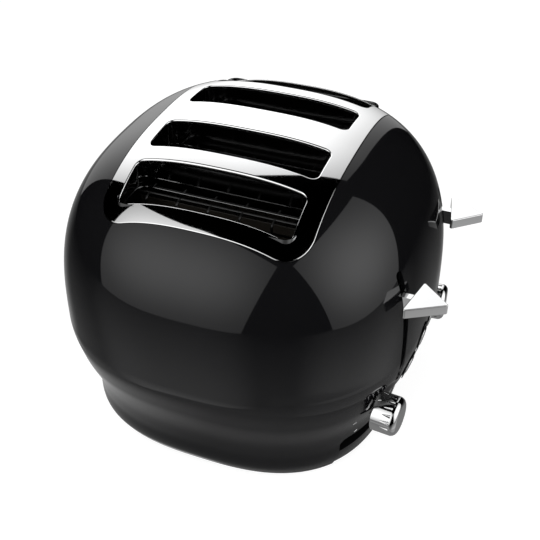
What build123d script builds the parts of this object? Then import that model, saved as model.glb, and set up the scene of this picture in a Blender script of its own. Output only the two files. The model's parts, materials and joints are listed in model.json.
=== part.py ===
from build123d import *
import math
import os

# Four-slice toaster with a rounded black shell and a chrome crown plate.
# The bread slots run along X, the levers and knobs are on the +X end, and
# the front of the toaster is -Y. The pieces are drawn round the middle of the
# body and then moved, so that the origin is on the table under the middle of
# the whole length, lever handles included.

# Bread slots
slot_length = 132.0
slot_width = 36.0
slot_corner = 6.0
slot_pitch = 51.4
half_pitch = 120.0

# Outer body, with heights measured from the bottom edge of the shell
foot_height = 3.0
girth_height = 98.2
crown_rise = 145.4
girth_half_length = 148.0
girth_half_width = 153.0
crown_power = 2.84
girth_power = 2.54
base_power = 2.73
skirt_stations = [
    (0.0, 126.0, 129.5),
    (12.0, 128.0, 136.0),
    (25.0, 129.4, 135.6),
    (41.0, 133.0, 137.8),
    (67.0, 143.0, 146.5),
]
crown_angle = 70.0
section_count = 20
outline_points = 24
shell_wall = 3.0

# Chrome crown plate
plate_length = 160.2
plate_width = 231.2
plate_corner = 23.0
plate_thickness = 1.2
plate_seam = 0.5
plate_ledge = 4.0
collar_depth = 3.5
collar_thickness = 1.0

# Slot liners under the crown plate
liner_gap = 0.3
liner_thickness = 1.0
liner_lip = 1.0
liner_bottom = 211.0

# Levers
lever_slot_width = 7.2
lever_slot_bottom = 75.6
lever_slot_top = 181.0
lever_travel_down = 70.0
lever_travel_up = 15.0
stem_width = 5.5
stem_height = 12.0
stem_centre = 155.6
paddle_base = 36.0
paddle_reach = 26.0
paddle_thickness = 8.3
paddle_top = 163.3
paddle_turn = 10.8
paddle_corner = 1.5
paddle_inset = 2.5
tongue_length = 8.0
tongue_width = 3.5
tongue_height = 3.6
tongue_fit = 0.1

# Browning knobs
knob_spacing = 147.0
knob_height = 53.5
knob_turn = 5.0
knob_radius = 15.9
knob_length = 19.0
knob_rim = 5.2
knob_skirt = 2.2
knob_hollow = 12.0
knob_hub_radius = 6.0
knob_gap = 3.4
knob_seat_clearance = 1.6
knob_seat_wall = 2.4
pointer_width = 1.4
pointer_depth = 0.6
pointer_length = 6.0
shaft_radius = 3.0
shaft_tail = 17.0
shaft_fit = 0.05
running_gap = 0.3

# Push buttons, on an arch between the knobs, with the height of its middle
arch_height = 46.0
arch_radius = 42.0
arch_angles = [17.5, 52.5]
button_radius = 8.5
button_proud = 1.6
button_length = 11.0
button_dome = 1.0
button_travel = 2.0
bezel_bore_gap = 0.3
bezel_wall = 1.6
bezel_flange = 2.2
bezel_proud = 0.6
bezel_depth = 13.0
switch_depth = 12.0
pin_length = 4.0
pin_pitch = 7.0
pin_width = 3.0
pin_thickness = 0.8

# Crumb tray and its bay
bay_width = 192.0
bay_top = 32.0
bay_corner = 6.0
tray_width = 174.0
tray_front_top = 18.5
tray_front_bottom = 3.2
tray_side_gap = 1.0
tray_front_inset = 1.0
tray_front_thickness = 9.0
tray_floor = 8.4
tray_sheet = 0.8
tray_wall_top = 16.0
tray_back = -68.0
bay_back = 89.0
bay_sheet = 2.0

# Base pan
pan_bottom = 5.0
pan_thickness = 3.0
pan_gap = 0.4
rail_gap = 0.6
rail_thickness = 4.0
rail_top = 20.0
rail_length = 180.0
rail_shift = 18.0
hood_wall = 12.0
foot_spacing_x = 150.0
foot_spacing_y = 168.0
foot_radius = 9.0
foot_stud_radius = 3.5
foot_stud_gap = 0.15
foot_chamfer = 1.0
screw_spacing_x = 160.0
screw_spacing_y = 212.0
screw_radius = 1.7
screw_head_radius = 3.4
screw_head_height = 1.5
screw_slot_width = 0.8
screw_length = 14.0
screw_gap = 0.2
boss_radius = 5.5
boss_top = 30.0
boss_web = 3.0
boss_web_length = 18.0
boss_web_shift = 8.0
boss_cap = 4.0
vent_length = 40.0
vent_width = 4.0
vent_pitch = 9.0
vent_spacing = 60.0
vent_count = 6

# Toasting chamber
chamber_length = 144.0
end_sheet = 1.0
end_half_width = 119.0
end_shoulder = 185.0
end_top = 210.0
end_top_half_width = 100.0
side_sheet = 0.8
side_height = 160.0
side_place = 116.0
side_flange = 24.0
divider_top = 204.0
divider_columns = 4
divider_rows = 3
divider_hole_radius = 6.0
card_offset = 25.7
card_thickness = 1.0
card_bottom = 70.0
card_top = 198.0
card_gap = 0.3
tab_height = 8.0
tab_levels = [90.0, 176.0]
ribbon_count = 8
ribbon_width = 1.6
ribbon_thickness = 0.3
ribbon_half_length = 64.0
ribbon_gap = 0.1

# Bread guards
guard_offset = 10.0
guard_pitch = 25.0
guard_count = 6
guard_shift = 4.0
guard_wire = 0.9
guard_rail_wire = 1.1
guard_bottom = 62.0
guard_top = 208.4
guard_bend = 3.0

# Bread racks and their lift
rack_top = 152.0
rack_height = 8.0
rack_sheet = 1.2
rack_tail = 4.0
rib_half_width = 8.4
rib_count = 5
rack_slot_gap = 1.6
lift_plate_x = 92.0
lift_sheet = 1.5
lift_plate_height = 12.0
lift_overhang = 5.0
hub_reach = 17.5
hub_half_width = 8.0
hub_height = 24.0
rod_radius = 3.0
rod_x = 104.0
frame_sheet = 1.2
foot_gap = 0.5
frame_top = 192.0
flange_reach = 39.0
flange_width = 24.0
frame_width = 28.8
shelf_width = 16.0
flange_sheet = 2.0
spring_wire = 1.0
spring_clearance = 1.2
magnet_y = 36.0
magnet_x = 100.0
magnet_shelf = 46.0
magnet_top = 69.5
magnet_core_radius = 4.0
magnet_coil_radius = 7.5
magnet_coil_base = 2.0
magnet_coil_drop = 3.0
armature_size = 14.0
armature_thickness = 2.0
armature_margin = 1.0
armature_post_radius = 2.5
armature_post = 2.0

# Timer boards and their dials
dial_radius = 6.0
dial_length = 10.0
dial_place = 11.0
bushing_radius = 4.8
bushing_back = 2.0
board_thickness = 1.6
board_width = 28.0

# Cord gland at the far end
gland_height = 24.0
gland_hole_radius = 6.0
gland_flange_radius = 9.0
gland_flange = 3.0
gland_fit = 0.1
gland_bore_radius = 3.6
gland_inner_length = 8.0

# Values worked out from the sizes above
halves = {"front": -1, "rear": 1}
half_centre = half_pitch / 2
slot_rows = [
    side * half_centre + step * slot_pitch / 2 for side in (-1, 1) for step in (-1, 1)
]
crown_top = foot_height + girth_height + crown_rise
liner_outer_x = slot_length + 2 * (collar_thickness + liner_gap + liner_thickness)
liner_outer_y = slot_width + 2 * (collar_thickness + liner_gap + liner_thickness)
lever_slot_height = lever_slot_top - lever_slot_bottom
rest_hub_bottom = stem_centre - hub_height / 2
frame_foot = knob_height + dial_radius + foot_gap
far_reach = girth_half_length + paddle_reach
tray_front_back = tray_front_inset + tray_front_thickness
patch_margin = 4.0
paddle_offset = girth_half_length - paddle_inset
length_middle = (paddle_offset + paddle_reach - girth_half_length) / 2
profile_steps = 200


def skirt_size(height, column):
    """Half length or half width of the lower body, on a smooth line through its stations."""
    stations = skirt_stations + [(girth_height, girth_half_length, girth_half_width)]
    heights = [row[0] for row in stations]
    sizes = [row[column] for row in stations]
    last = len(stations) - 1
    slopes = [
        (sizes[min(i + 1, last)] - sizes[max(i - 1, 0)])
        / (heights[min(i + 1, last)] - heights[max(i - 1, 0)])
        for i in range(last)
    ] + [0.0]
    i = max(k for k in range(last) if heights[k] <= max(height, 0.0))
    step = heights[i + 1] - heights[i]
    t = (height - heights[i]) / step
    return (
        (2 * t**3 - 3 * t**2 + 1) * sizes[i]
        + (t**3 - 2 * t**2 + t) * step * slopes[i]
        + (3 * t**2 - 2 * t**3) * sizes[i + 1]
        + (t**3 - t**2) * step * slopes[i + 1]
    )


def level_section(height, inset=0.0):
    """Half length, half width and corner power of the body at a height above its edge."""
    if height < girth_height:
        power = base_power + (girth_power - base_power) * height / girth_height
        return skirt_size(height, 1) - inset, skirt_size(height, 2) - inset, power
    level = (height - girth_height) / (crown_rise - inset)
    share = (1 - level**crown_power) ** (1 / crown_power)
    return (
        (girth_half_length - inset) * share,
        (girth_half_width - inset) * share,
        girth_power,
    )


def wall_x(y, z, inset=0.0):
    """How far the body reaches along X at a place on its end."""
    half_length, half_width, power = level_section(z - foot_height, inset)
    return half_length * (1 - (abs(y) / half_width) ** power) ** (1 / power)


def crown_z(x, y, inset=0.0):
    """Height of the crown above the table at a place in plan."""
    reach = (abs(x) / (girth_half_length - inset)) ** girth_power
    reach += (abs(y) / (girth_half_width - inset)) ** girth_power
    rise = (1 - reach ** (crown_power / girth_power)) ** (1 / crown_power)
    return foot_height + girth_height + (crown_rise - inset) * rise


def level_outline(half_length, half_width, power):
    """Points round a level section of the body, by the angle from the middle."""
    points = []
    for step in range(outline_points):
        angle = 2 * math.pi * step / outline_points
        across = abs(math.cos(angle) / half_length) ** power
        along = abs(math.sin(angle) / half_width) ** power
        radius = (across + along) ** (-1 / power)
        points.append((radius * math.cos(angle), radius * math.sin(angle)))
    return points


def section_heights(inset):
    """Heights of level sections that are evenly spaced along the body's profile."""
    heights = [girth_height * k / profile_steps for k in range(profile_steps)]
    for k in range(profile_steps + 1):
        angle = math.radians(crown_angle * k / profile_steps)
        rise = math.sin(angle) ** (2 / crown_power)
        heights.append(girth_height + (crown_rise - inset) * rise)
    lengths = [0.0]
    for low, high in zip(heights, heights[1:]):
        step_out = level_section(high, inset)[0] - level_section(low, inset)[0]
        lengths.append(lengths[-1] + math.hypot(high - low, step_out))
    chosen = []
    for k in range(section_count):
        target = lengths[-1] * k / (section_count - 1)
        nearest = min(range(len(lengths)), key=lambda i: abs(lengths[i] - target))
        chosen.append(heights[nearest])
    return chosen


def body_form(inset=0.0):
    """The whole body as one smooth solid, moved inwards by an inset."""
    even_steps = [step / outline_points for step in range(outline_points + 1)]
    with BuildPart() as form:
        for height in section_heights(inset):
            with BuildSketch(Plane.XY.offset(foot_height + height)):
                with BuildLine():
                    points = level_outline(*level_section(height, inset))
                    add(Edge.make_spline(points, periodic=True, parameters=even_steps))
                make_face()
        loft()
    return form.part


def crown_patch(inset=0.0):
    """A piece of the crown's surface that covers the plate, moved inwards by an inset."""
    half_x = plate_length / 2 + patch_margin
    half_y = plate_width / 2 + patch_margin
    steps_x, steps_y = 14, 18
    rows = []
    for i in range(steps_x + 1):
        x = -half_x + 2 * half_x * i / steps_x
        row = []
        for j in range(steps_y + 1):
            y = -half_y + 2 * half_y * j / steps_y
            row.append(Vector(x, y, crown_z(x, y, inset)))
        rows.append(row)
    return Face.make_surface_from_array_of_points(rows)


def save(builder, name):
    """Move a finished piece to its place about the origin, label it and write it."""
    piece = builder.part.moved(Location((-length_middle, 0, 0)))
    piece.label = name
    export_step(piece, f"parts/{name}.step")


def axis_plane(side, distance):
    """Plane square to a knob's axis, at a distance outside the shell."""
    turn = math.radians(knob_turn)
    outwards = Vector(math.cos(turn), side * math.sin(turn), 0)
    y = side * knob_spacing / 2
    seat = Vector(wall_x(y, knob_height), y, knob_height)
    sideways = Vector(-outwards.Y, outwards.X, 0)
    return Plane(origin=seat + outwards * distance, x_dir=sideways, z_dir=outwards)


def button_plane(side, angle, distance):
    """Plane square to a button's axis, at a distance outside the shell."""
    y = side * arch_radius * math.sin(math.radians(angle))
    z = arch_height + arch_radius * math.cos(math.radians(angle))
    step = 1.0
    slope_y = (wall_x(y + step, z) - wall_x(y - step, z)) / (2 * step)
    slope_z = (wall_x(y, z + step) - wall_x(y, z - step)) / (2 * step)
    outwards = Vector(1, -slope_y, -slope_z).normalized()
    sideways = Vector(-outwards.Y, outwards.X, 0).normalized()
    seat = Vector(wall_x(y, z), y, z)
    return Plane(origin=seat + outwards * distance, x_dir=sideways, z_dir=outwards)


os.makedirs("parts", exist_ok=True)
outer_form = body_form()
inner_form = body_form(shell_wall)
button_places = [(side, angle) for side in (-1, 1) for angle in arch_angles]

# Room for the crown plate, down to the ledge that it lies on
with BuildPart() as plate_room:
    extrude(to_extrude=crown_patch(plate_thickness), amount=crown_rise, dir=(0, 0, 1))
    with BuildSketch(Plane.XY.offset(girth_height)):
        RectangleRounded(
            plate_length + 2 * plate_seam,
            plate_width + 2 * plate_seam,
            plate_corner + plate_seam,
        )
    extrude(amount=2 * crown_rise, mode=Mode.INTERSECT)

# Black outer shell
with BuildPart() as outer_shell:
    add(outer_form)
    add(inner_form, mode=Mode.SUBTRACT)
    # Seats that the knobs sit in, and bosses for the base screws
    for side in halves.values():
        with BuildSketch(axis_plane(side, knob_gap - knob_seat_clearance - knob_seat_wall)):
            Circle(knob_radius + knob_seat_clearance + knob_seat_wall)
        extrude(amount=knob_seat_wall + knob_gap)
    web_row = screw_spacing_y / 2 + boss_web_shift
    with BuildSketch(Plane.XY.offset(pan_bottom + pan_thickness)):
        with GridLocations(screw_spacing_x, screw_spacing_y, 2, 2):
            Circle(boss_radius)
        for side_x in (-1, 1):
            for side_y in (-1, 1):
                with Locations((side_x * screw_spacing_x / 2, side_y * web_row)):
                    Rectangle(boss_web, boss_web_length)
    extrude(amount=boss_top - pan_bottom - pan_thickness)
    add(outer_form, mode=Mode.INTERSECT)
    for side in halves.values():
        with BuildSketch(axis_plane(side, knob_gap - knob_seat_clearance)):
            Circle(knob_radius + knob_seat_clearance)
        extrude(amount=knob_length, mode=Mode.SUBTRACT)
        with BuildSketch(axis_plane(side, -2 * shell_wall)):
            Circle(bushing_radius + running_gap)
        extrude(amount=knob_length, mode=Mode.SUBTRACT)
    # Window and ledge for the crown plate
    add(plate_room.part, mode=Mode.SUBTRACT)
    with BuildSketch(Plane.XY.offset(foot_height + girth_height)):
        RectangleRounded(
            plate_length - 2 * plate_ledge,
            plate_width - 2 * plate_ledge,
            plate_corner - plate_ledge,
        )
    extrude(amount=2 * crown_rise, mode=Mode.SUBTRACT)
    # Lever slots
    with BuildSketch(Plane.YZ.offset(lift_plate_x)):
        with GridLocations(half_pitch, 0, 2, 1):
            with Locations((0, lever_slot_bottom + lever_slot_height / 2)):
                SlotOverall(lever_slot_height, lever_slot_width, rotation=90)
    extrude(amount=far_reach, mode=Mode.SUBTRACT)
    # Holes for the push buttons
    for side, angle in button_places:
        with BuildSketch(button_plane(side, angle, -4 * shell_wall)):
            Circle(button_radius + bezel_bore_gap + bezel_wall + running_gap)
        extrude(amount=8 * shell_wall, mode=Mode.SUBTRACT)
    # Mouth of the crumb tray bay
    with BuildSketch(Plane.YZ.offset(bay_back)):
        with Locations((0, 0)):
            RectangleRounded(bay_width, 2 * bay_top, bay_corner)
    extrude(amount=far_reach, mode=Mode.SUBTRACT)
    # Hole for the cord gland
    with BuildSketch(Plane.YZ.offset(-far_reach)):
        with Locations((0, gland_height)):
            Circle(gland_hole_radius)
    extrude(amount=girth_half_length / 2, mode=Mode.SUBTRACT)
    # Pilot holes in the bosses
    with BuildSketch(Plane.XY.offset(pan_bottom)):
        with GridLocations(screw_spacing_x, screw_spacing_y, 2, 2):
            Circle(screw_radius + screw_gap / 2)
    extrude(amount=boss_top - pan_bottom - boss_cap, mode=Mode.SUBTRACT)
save(outer_shell, "outer_shell")

# Skin between two depths under the crown, deep enough for the slot collars
with BuildPart() as collar_stock:
    extrude(to_extrude=crown_patch(), amount=crown_rise / 2, dir=(0, 0, -1))
    extrude(
        to_extrude=crown_patch(collar_depth), amount=crown_rise, dir=(0, 0, -1), mode=Mode.SUBTRACT
    )
    with BuildSketch(Plane.XY.offset(girth_height)):
        with Locations(*[(0, y) for y in slot_rows]):
            RectangleRounded(
                slot_length + 2 * collar_thickness,
                slot_width + 2 * collar_thickness,
                slot_corner + collar_thickness,
            )
    extrude(amount=2 * crown_rise, mode=Mode.INTERSECT)

# Chrome crown plate with a turned-down collar round each slot
with BuildPart() as top_plate:
    extrude(to_extrude=crown_patch(), amount=crown_rise / 2, dir=(0, 0, -1))
    extrude(
        to_extrude=crown_patch(plate_thickness),
        amount=crown_rise,
        dir=(0, 0, -1),
        mode=Mode.SUBTRACT,
    )
    with BuildSketch(Plane.XY.offset(girth_height)):
        RectangleRounded(plate_length, plate_width, plate_corner)
    extrude(amount=2 * crown_rise, mode=Mode.INTERSECT)
    add(collar_stock.part)
    with BuildSketch(Plane.XY.offset(girth_height)):
        with Locations(*[(0, y) for y in slot_rows]):
            RectangleRounded(slot_length, slot_width, slot_corner)
    extrude(amount=2 * crown_rise, mode=Mode.SUBTRACT)
save(top_plate, "top_plate")

# Sheet liners that guide the bread from the plate down to the guards
above_liners = extrude(crown_patch(plate_thickness), amount=crown_rise, dir=(0, 0, 1))
for number, y in enumerate(slot_rows, start=1):
    with BuildPart() as slot_liner:
        with BuildSketch(Plane.XY.offset(liner_bottom)):
            with Locations((0, y)):
                RectangleRounded(
                    liner_outer_x, liner_outer_y, slot_corner + (liner_outer_y - slot_width) / 2
                )
        extrude(amount=crown_top - liner_bottom)
        with BuildSketch(Plane.XY.offset(liner_bottom + liner_lip)):
            with Locations((0, y)):
                RectangleRounded(
                    liner_outer_x - 2 * liner_thickness,
                    liner_outer_y - 2 * liner_thickness,
                    slot_corner + collar_thickness + liner_gap,
                )
        extrude(amount=crown_top - liner_bottom, mode=Mode.SUBTRACT)
        with BuildSketch(Plane.XY.offset(liner_bottom)):
            with Locations((0, y)):
                RectangleRounded(slot_length, slot_width, slot_corner)
        extrude(amount=liner_lip, mode=Mode.SUBTRACT)
        add(above_liners, mode=Mode.SUBTRACT)
    save(slot_liner, f"slot_liner_{number}")

# Base pan with the tray rails, the hood over the finger gap, feet and screw holes
pan_top = pan_bottom + pan_thickness
rail_inner = tray_width / 2 + rail_gap
with BuildPart() as base_pan:
    with BuildSketch(Plane.XY.offset(pan_bottom)):
        Rectangle(2 * girth_half_length, 2 * girth_half_width)
    extrude(amount=pan_thickness)
    with BuildSketch(Plane.XY.offset(pan_bottom)):
        with Locations((bay_back + girth_half_length / 2, 0)):
            Rectangle(girth_half_length, bay_width + 2 * pan_gap)
    extrude(amount=pan_thickness, mode=Mode.SUBTRACT)
    with BuildSketch(Plane.XY.offset(pan_top)):
        for side in (-1, 1):
            with Locations((-rail_shift, side * (rail_inner + rail_thickness / 2))):
                Rectangle(rail_length, rail_thickness)
    extrude(amount=rail_top - pan_top)
    # Hood over the tray front, open towards +X and down to the tray
    hood_half_width = bay_width / 2 + pan_gap + bay_sheet
    hood_middle = bay_back - bay_sheet + hood_wall / 2
    with BuildSketch(Plane.XY.offset(pan_top)):
        with Locations((bay_back - bay_sheet / 2, 0)):
            Rectangle(bay_sheet, 2 * hood_half_width)
        for side in (-1, 1):
            with Locations((hood_middle, side * (hood_half_width - bay_sheet / 2))):
                Rectangle(hood_wall, bay_sheet)
    extrude(amount=bay_top + bay_sheet - pan_top)
    with BuildSketch(Plane.XY.offset(bay_top)):
        with Locations((bay_back - bay_sheet + girth_half_length / 2, 0)):
            Rectangle(girth_half_length, 2 * hood_half_width)
    extrude(amount=bay_sheet)
    add(body_form(shell_wall + pan_gap), mode=Mode.INTERSECT)
    with BuildSketch(Plane.YZ.offset(bay_back - bay_sheet)):
        with Locations((0, (pan_bottom + tray_wall_top + rail_gap) / 2)):
            Rectangle(tray_width + 2 * rail_gap, tray_wall_top + rail_gap - pan_bottom)
    extrude(amount=bay_sheet, mode=Mode.SUBTRACT)
    with BuildSketch(Plane.XY.offset(pan_bottom)):
        with GridLocations(foot_spacing_x, foot_spacing_y, 2, 2):
            Circle(foot_stud_radius + foot_stud_gap)
        with GridLocations(screw_spacing_x, screw_spacing_y, 2, 2):
            Circle(screw_radius + screw_gap)
        with GridLocations(vent_spacing, vent_pitch, 2, vent_count):
            SlotOverall(vent_length, vent_width)
    extrude(amount=pan_thickness, mode=Mode.SUBTRACT)
save(base_pan, "base_pan")

# Rubber feet with studs pushed up through the pan
with BuildPart() as rubber_feet:
    with BuildSketch():
        with GridLocations(foot_spacing_x, foot_spacing_y, 2, 2):
            Circle(foot_radius)
    extrude(amount=pan_bottom)
    chamfer(rubber_feet.edges().group_by(Axis.Z)[0], foot_chamfer)
    with BuildSketch(Plane.XY.offset(pan_bottom)):
        with GridLocations(foot_spacing_x, foot_spacing_y, 2, 2):
            Circle(foot_stud_radius)
    extrude(amount=pan_thickness)
save(rubber_feet, "rubber_feet")

# Screws that hold the pan to the shell
with BuildPart() as base_screws:
    with BuildSketch(Plane.XY.offset(pan_bottom - screw_head_height)):
        with GridLocations(screw_spacing_x, screw_spacing_y, 2, 2):
            Circle(screw_head_radius)
            Rectangle(screw_radius * 2, screw_slot_width, mode=Mode.SUBTRACT)
    extrude(amount=screw_head_height)
    with BuildSketch(Plane.XY.offset(pan_bottom - screw_head_height / 3)):
        with GridLocations(screw_spacing_x, screw_spacing_y, 2, 2):
            Circle(screw_radius)
    extrude(amount=screw_length)
save(base_screws, "base_screws")

# Steel ends of the toasting chamber, one at each end of the slots
rack_slot_low = rack_top - rack_height - lever_travel_down - rack_slot_gap
rack_slot_high = rack_top + lever_travel_up + rack_slot_gap
rack_slot_width = rack_sheet + 2 * rack_slot_gap
card_rows = sorted({round(y + step * card_offset, 3) for y in slot_rows for step in (-1, 1)})
for name, side in {"chamber_end_near": 1, "chamber_end_far": -1}.items():
    inner_face = side * chamber_length / 2
    with BuildPart() as chamber_end:
        with BuildSketch(Plane.YZ.offset(inner_face if side > 0 else inner_face - end_sheet)):
            with BuildLine():
                Polyline(
                    (-end_half_width, rail_top),
                    (end_half_width, rail_top),
                    (end_half_width, end_shoulder),
                    (end_top_half_width, end_top),
                    (-end_top_half_width, end_top),
                    (-end_half_width, end_shoulder),
                    close=True,
                )
            make_face()
            for y in slot_rows:
                with Locations((y, (rack_slot_low + rack_slot_high) / 2)):
                    SlotOverall(
                        rack_slot_high - rack_slot_low + rack_slot_width,
                        rack_slot_width,
                        rotation=90,
                        mode=Mode.SUBTRACT,
                    )
            for y in card_rows:
                with Locations(*[(y, level) for level in tab_levels]):
                    Rectangle(
                        card_thickness + 2 * card_gap,
                        tab_height + 2 * card_gap,
                        mode=Mode.SUBTRACT,
                    )
        extrude(amount=end_sheet)
    save(chamber_end, name)

# Bright side reflectors, each with a foot flange on the pan's rail
for half, side in halves.items():
    with BuildPart() as side_reflector:
        with BuildSketch(Plane.YZ.offset(-chamber_length / 2)):
            with Locations((side * (side_place + side_sheet / 2), rail_top + side_height / 2)):
                Rectangle(side_sheet, side_height)
            with Locations(
                (side * (side_place + side_sheet - side_flange / 2), rail_top + side_sheet / 2)
            ):
                Rectangle(side_flange, side_sheet)
        extrude(amount=chamber_length)
    save(side_reflector, f"side_reflector_{half}")

# Divider between the two halves, with holes that let the heat through
hole_pitch_x = chamber_length / (divider_columns + 1)
hole_pitch_z = (divider_top - rail_top) / (divider_rows + 1)
with BuildPart() as centre_divider:
    with BuildSketch(Plane.YZ.offset(-chamber_length / 2)):
        with Locations((0, (rail_top + divider_top) / 2)):
            Rectangle(end_sheet, divider_top - rail_top)
    extrude(amount=chamber_length)
    with BuildSketch(Plane.XZ.offset(-end_sheet)):
        with Locations((0, (rail_top + divider_top) / 2)):
            with GridLocations(hole_pitch_x, hole_pitch_z, divider_columns, divider_rows):
                Circle(divider_hole_radius)
    extrude(amount=3 * end_sheet, mode=Mode.SUBTRACT)
save(centre_divider, "centre_divider")

# Mica heater cards with a resistance ribbon wound round each
ribbon_levels = [
    card_bottom + (card_top - card_bottom) * (k + 0.5) / ribbon_count for k in range(ribbon_count)
]
ribbon_inner = card_thickness / 2 + ribbon_gap
for number, y in enumerate(card_rows, start=1):
    with BuildPart() as heater_card:
        with BuildSketch(Plane.XZ.offset(-y - card_thickness / 2)):
            with Locations((0, (card_bottom + card_top) / 2)):
                Rectangle(chamber_length - 2 * card_gap, card_top - card_bottom)
            with Locations(*[(0, level) for level in tab_levels]):
                Rectangle(chamber_length + 2 * end_sheet, tab_height)
            for level in ribbon_levels:
                with Locations((-ribbon_half_length, level), (ribbon_half_length, level)):
                    Rectangle(
                        2 * (ribbon_thickness + ribbon_gap),
                        ribbon_width + 2 * ribbon_gap,
                        mode=Mode.SUBTRACT,
                    )
        extrude(amount=card_thickness)
    save(heater_card, f"heater_card_{number}")

with BuildPart() as heater_ribbons:
    for level in ribbon_levels:
        with BuildSketch(Plane.XY.offset(level - ribbon_width / 2)):
            with Locations(*[(0, y) for y in card_rows]):
                Rectangle(
                    2 * ribbon_half_length + ribbon_thickness,
                    2 * (ribbon_inner + ribbon_thickness),
                )
                Rectangle(
                    2 * ribbon_half_length - ribbon_thickness,
                    2 * ribbon_inner,
                    mode=Mode.SUBTRACT,
                )
        extrude(amount=ribbon_width)
save(heater_ribbons, "heater_ribbons")

# Wire guards that keep the bread off the heaters
guard_reach = slot_width / 2 - liner_lip
guard_places = [guard_shift + (k - (guard_count - 1) / 2) * guard_pitch for k in range(guard_count)]
for number, row in enumerate(slot_rows, start=1):
    with BuildPart() as bread_guard:
        for side in (-1, 1):
            inner = row + side * guard_offset
            outer = row + side * guard_reach
            for x in guard_places:
                with BuildLine() as wire_line:
                    FilletPolyline(
                        (x, outer, guard_bottom),
                        (x, inner, guard_bottom),
                        (x, inner, guard_top),
                        (x, outer, guard_top),
                        radius=guard_bend,
                    )
                with BuildSketch(Plane(origin=wire_line.line @ 0, z_dir=wire_line.line % 0)):
                    Circle(guard_wire)
                sweep(path=wire_line.line)
            for level in (guard_bottom, guard_top):
                with BuildSketch(Plane.YZ.offset(-chamber_length / 2)):
                    with Locations((outer, level)):
                        Circle(guard_rail_wire)
                extrude(amount=chamber_length)
    save(bread_guard, f"bread_guard_{number}")

# Bread racks, each a thin spine with cross ribs between the guard wires
rib_places = [guard_places[k] + guard_pitch / 2 for k in range(rib_count)]
for number, y in enumerate(slot_rows, start=1):
    with BuildPart() as bread_rack:
        tail = -chamber_length / 2 - end_sheet - rack_tail
        with BuildSketch(Plane.XY.offset(rack_top - rack_height)):
            with Locations(((tail + lift_plate_x) / 2, y)):
                Rectangle(lift_plate_x - tail, rack_sheet)
        extrude(amount=rack_height)
        for x in rib_places:
            with BuildSketch(Plane.YZ.offset(x - rack_sheet / 2)):
                with BuildLine():
                    Polyline(
                        (y - rib_half_width, rack_top),
                        (y + rib_half_width, rack_top),
                        (y + rib_half_width, rack_top - rack_height / 3),
                        (y, rack_top - rack_height),
                        (y - rib_half_width, rack_top - rack_height / 3),
                        close=True,
                    )
                make_face()
            extrude(amount=rack_sheet)
    save(bread_rack, f"bread_rack_{number}")

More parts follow.
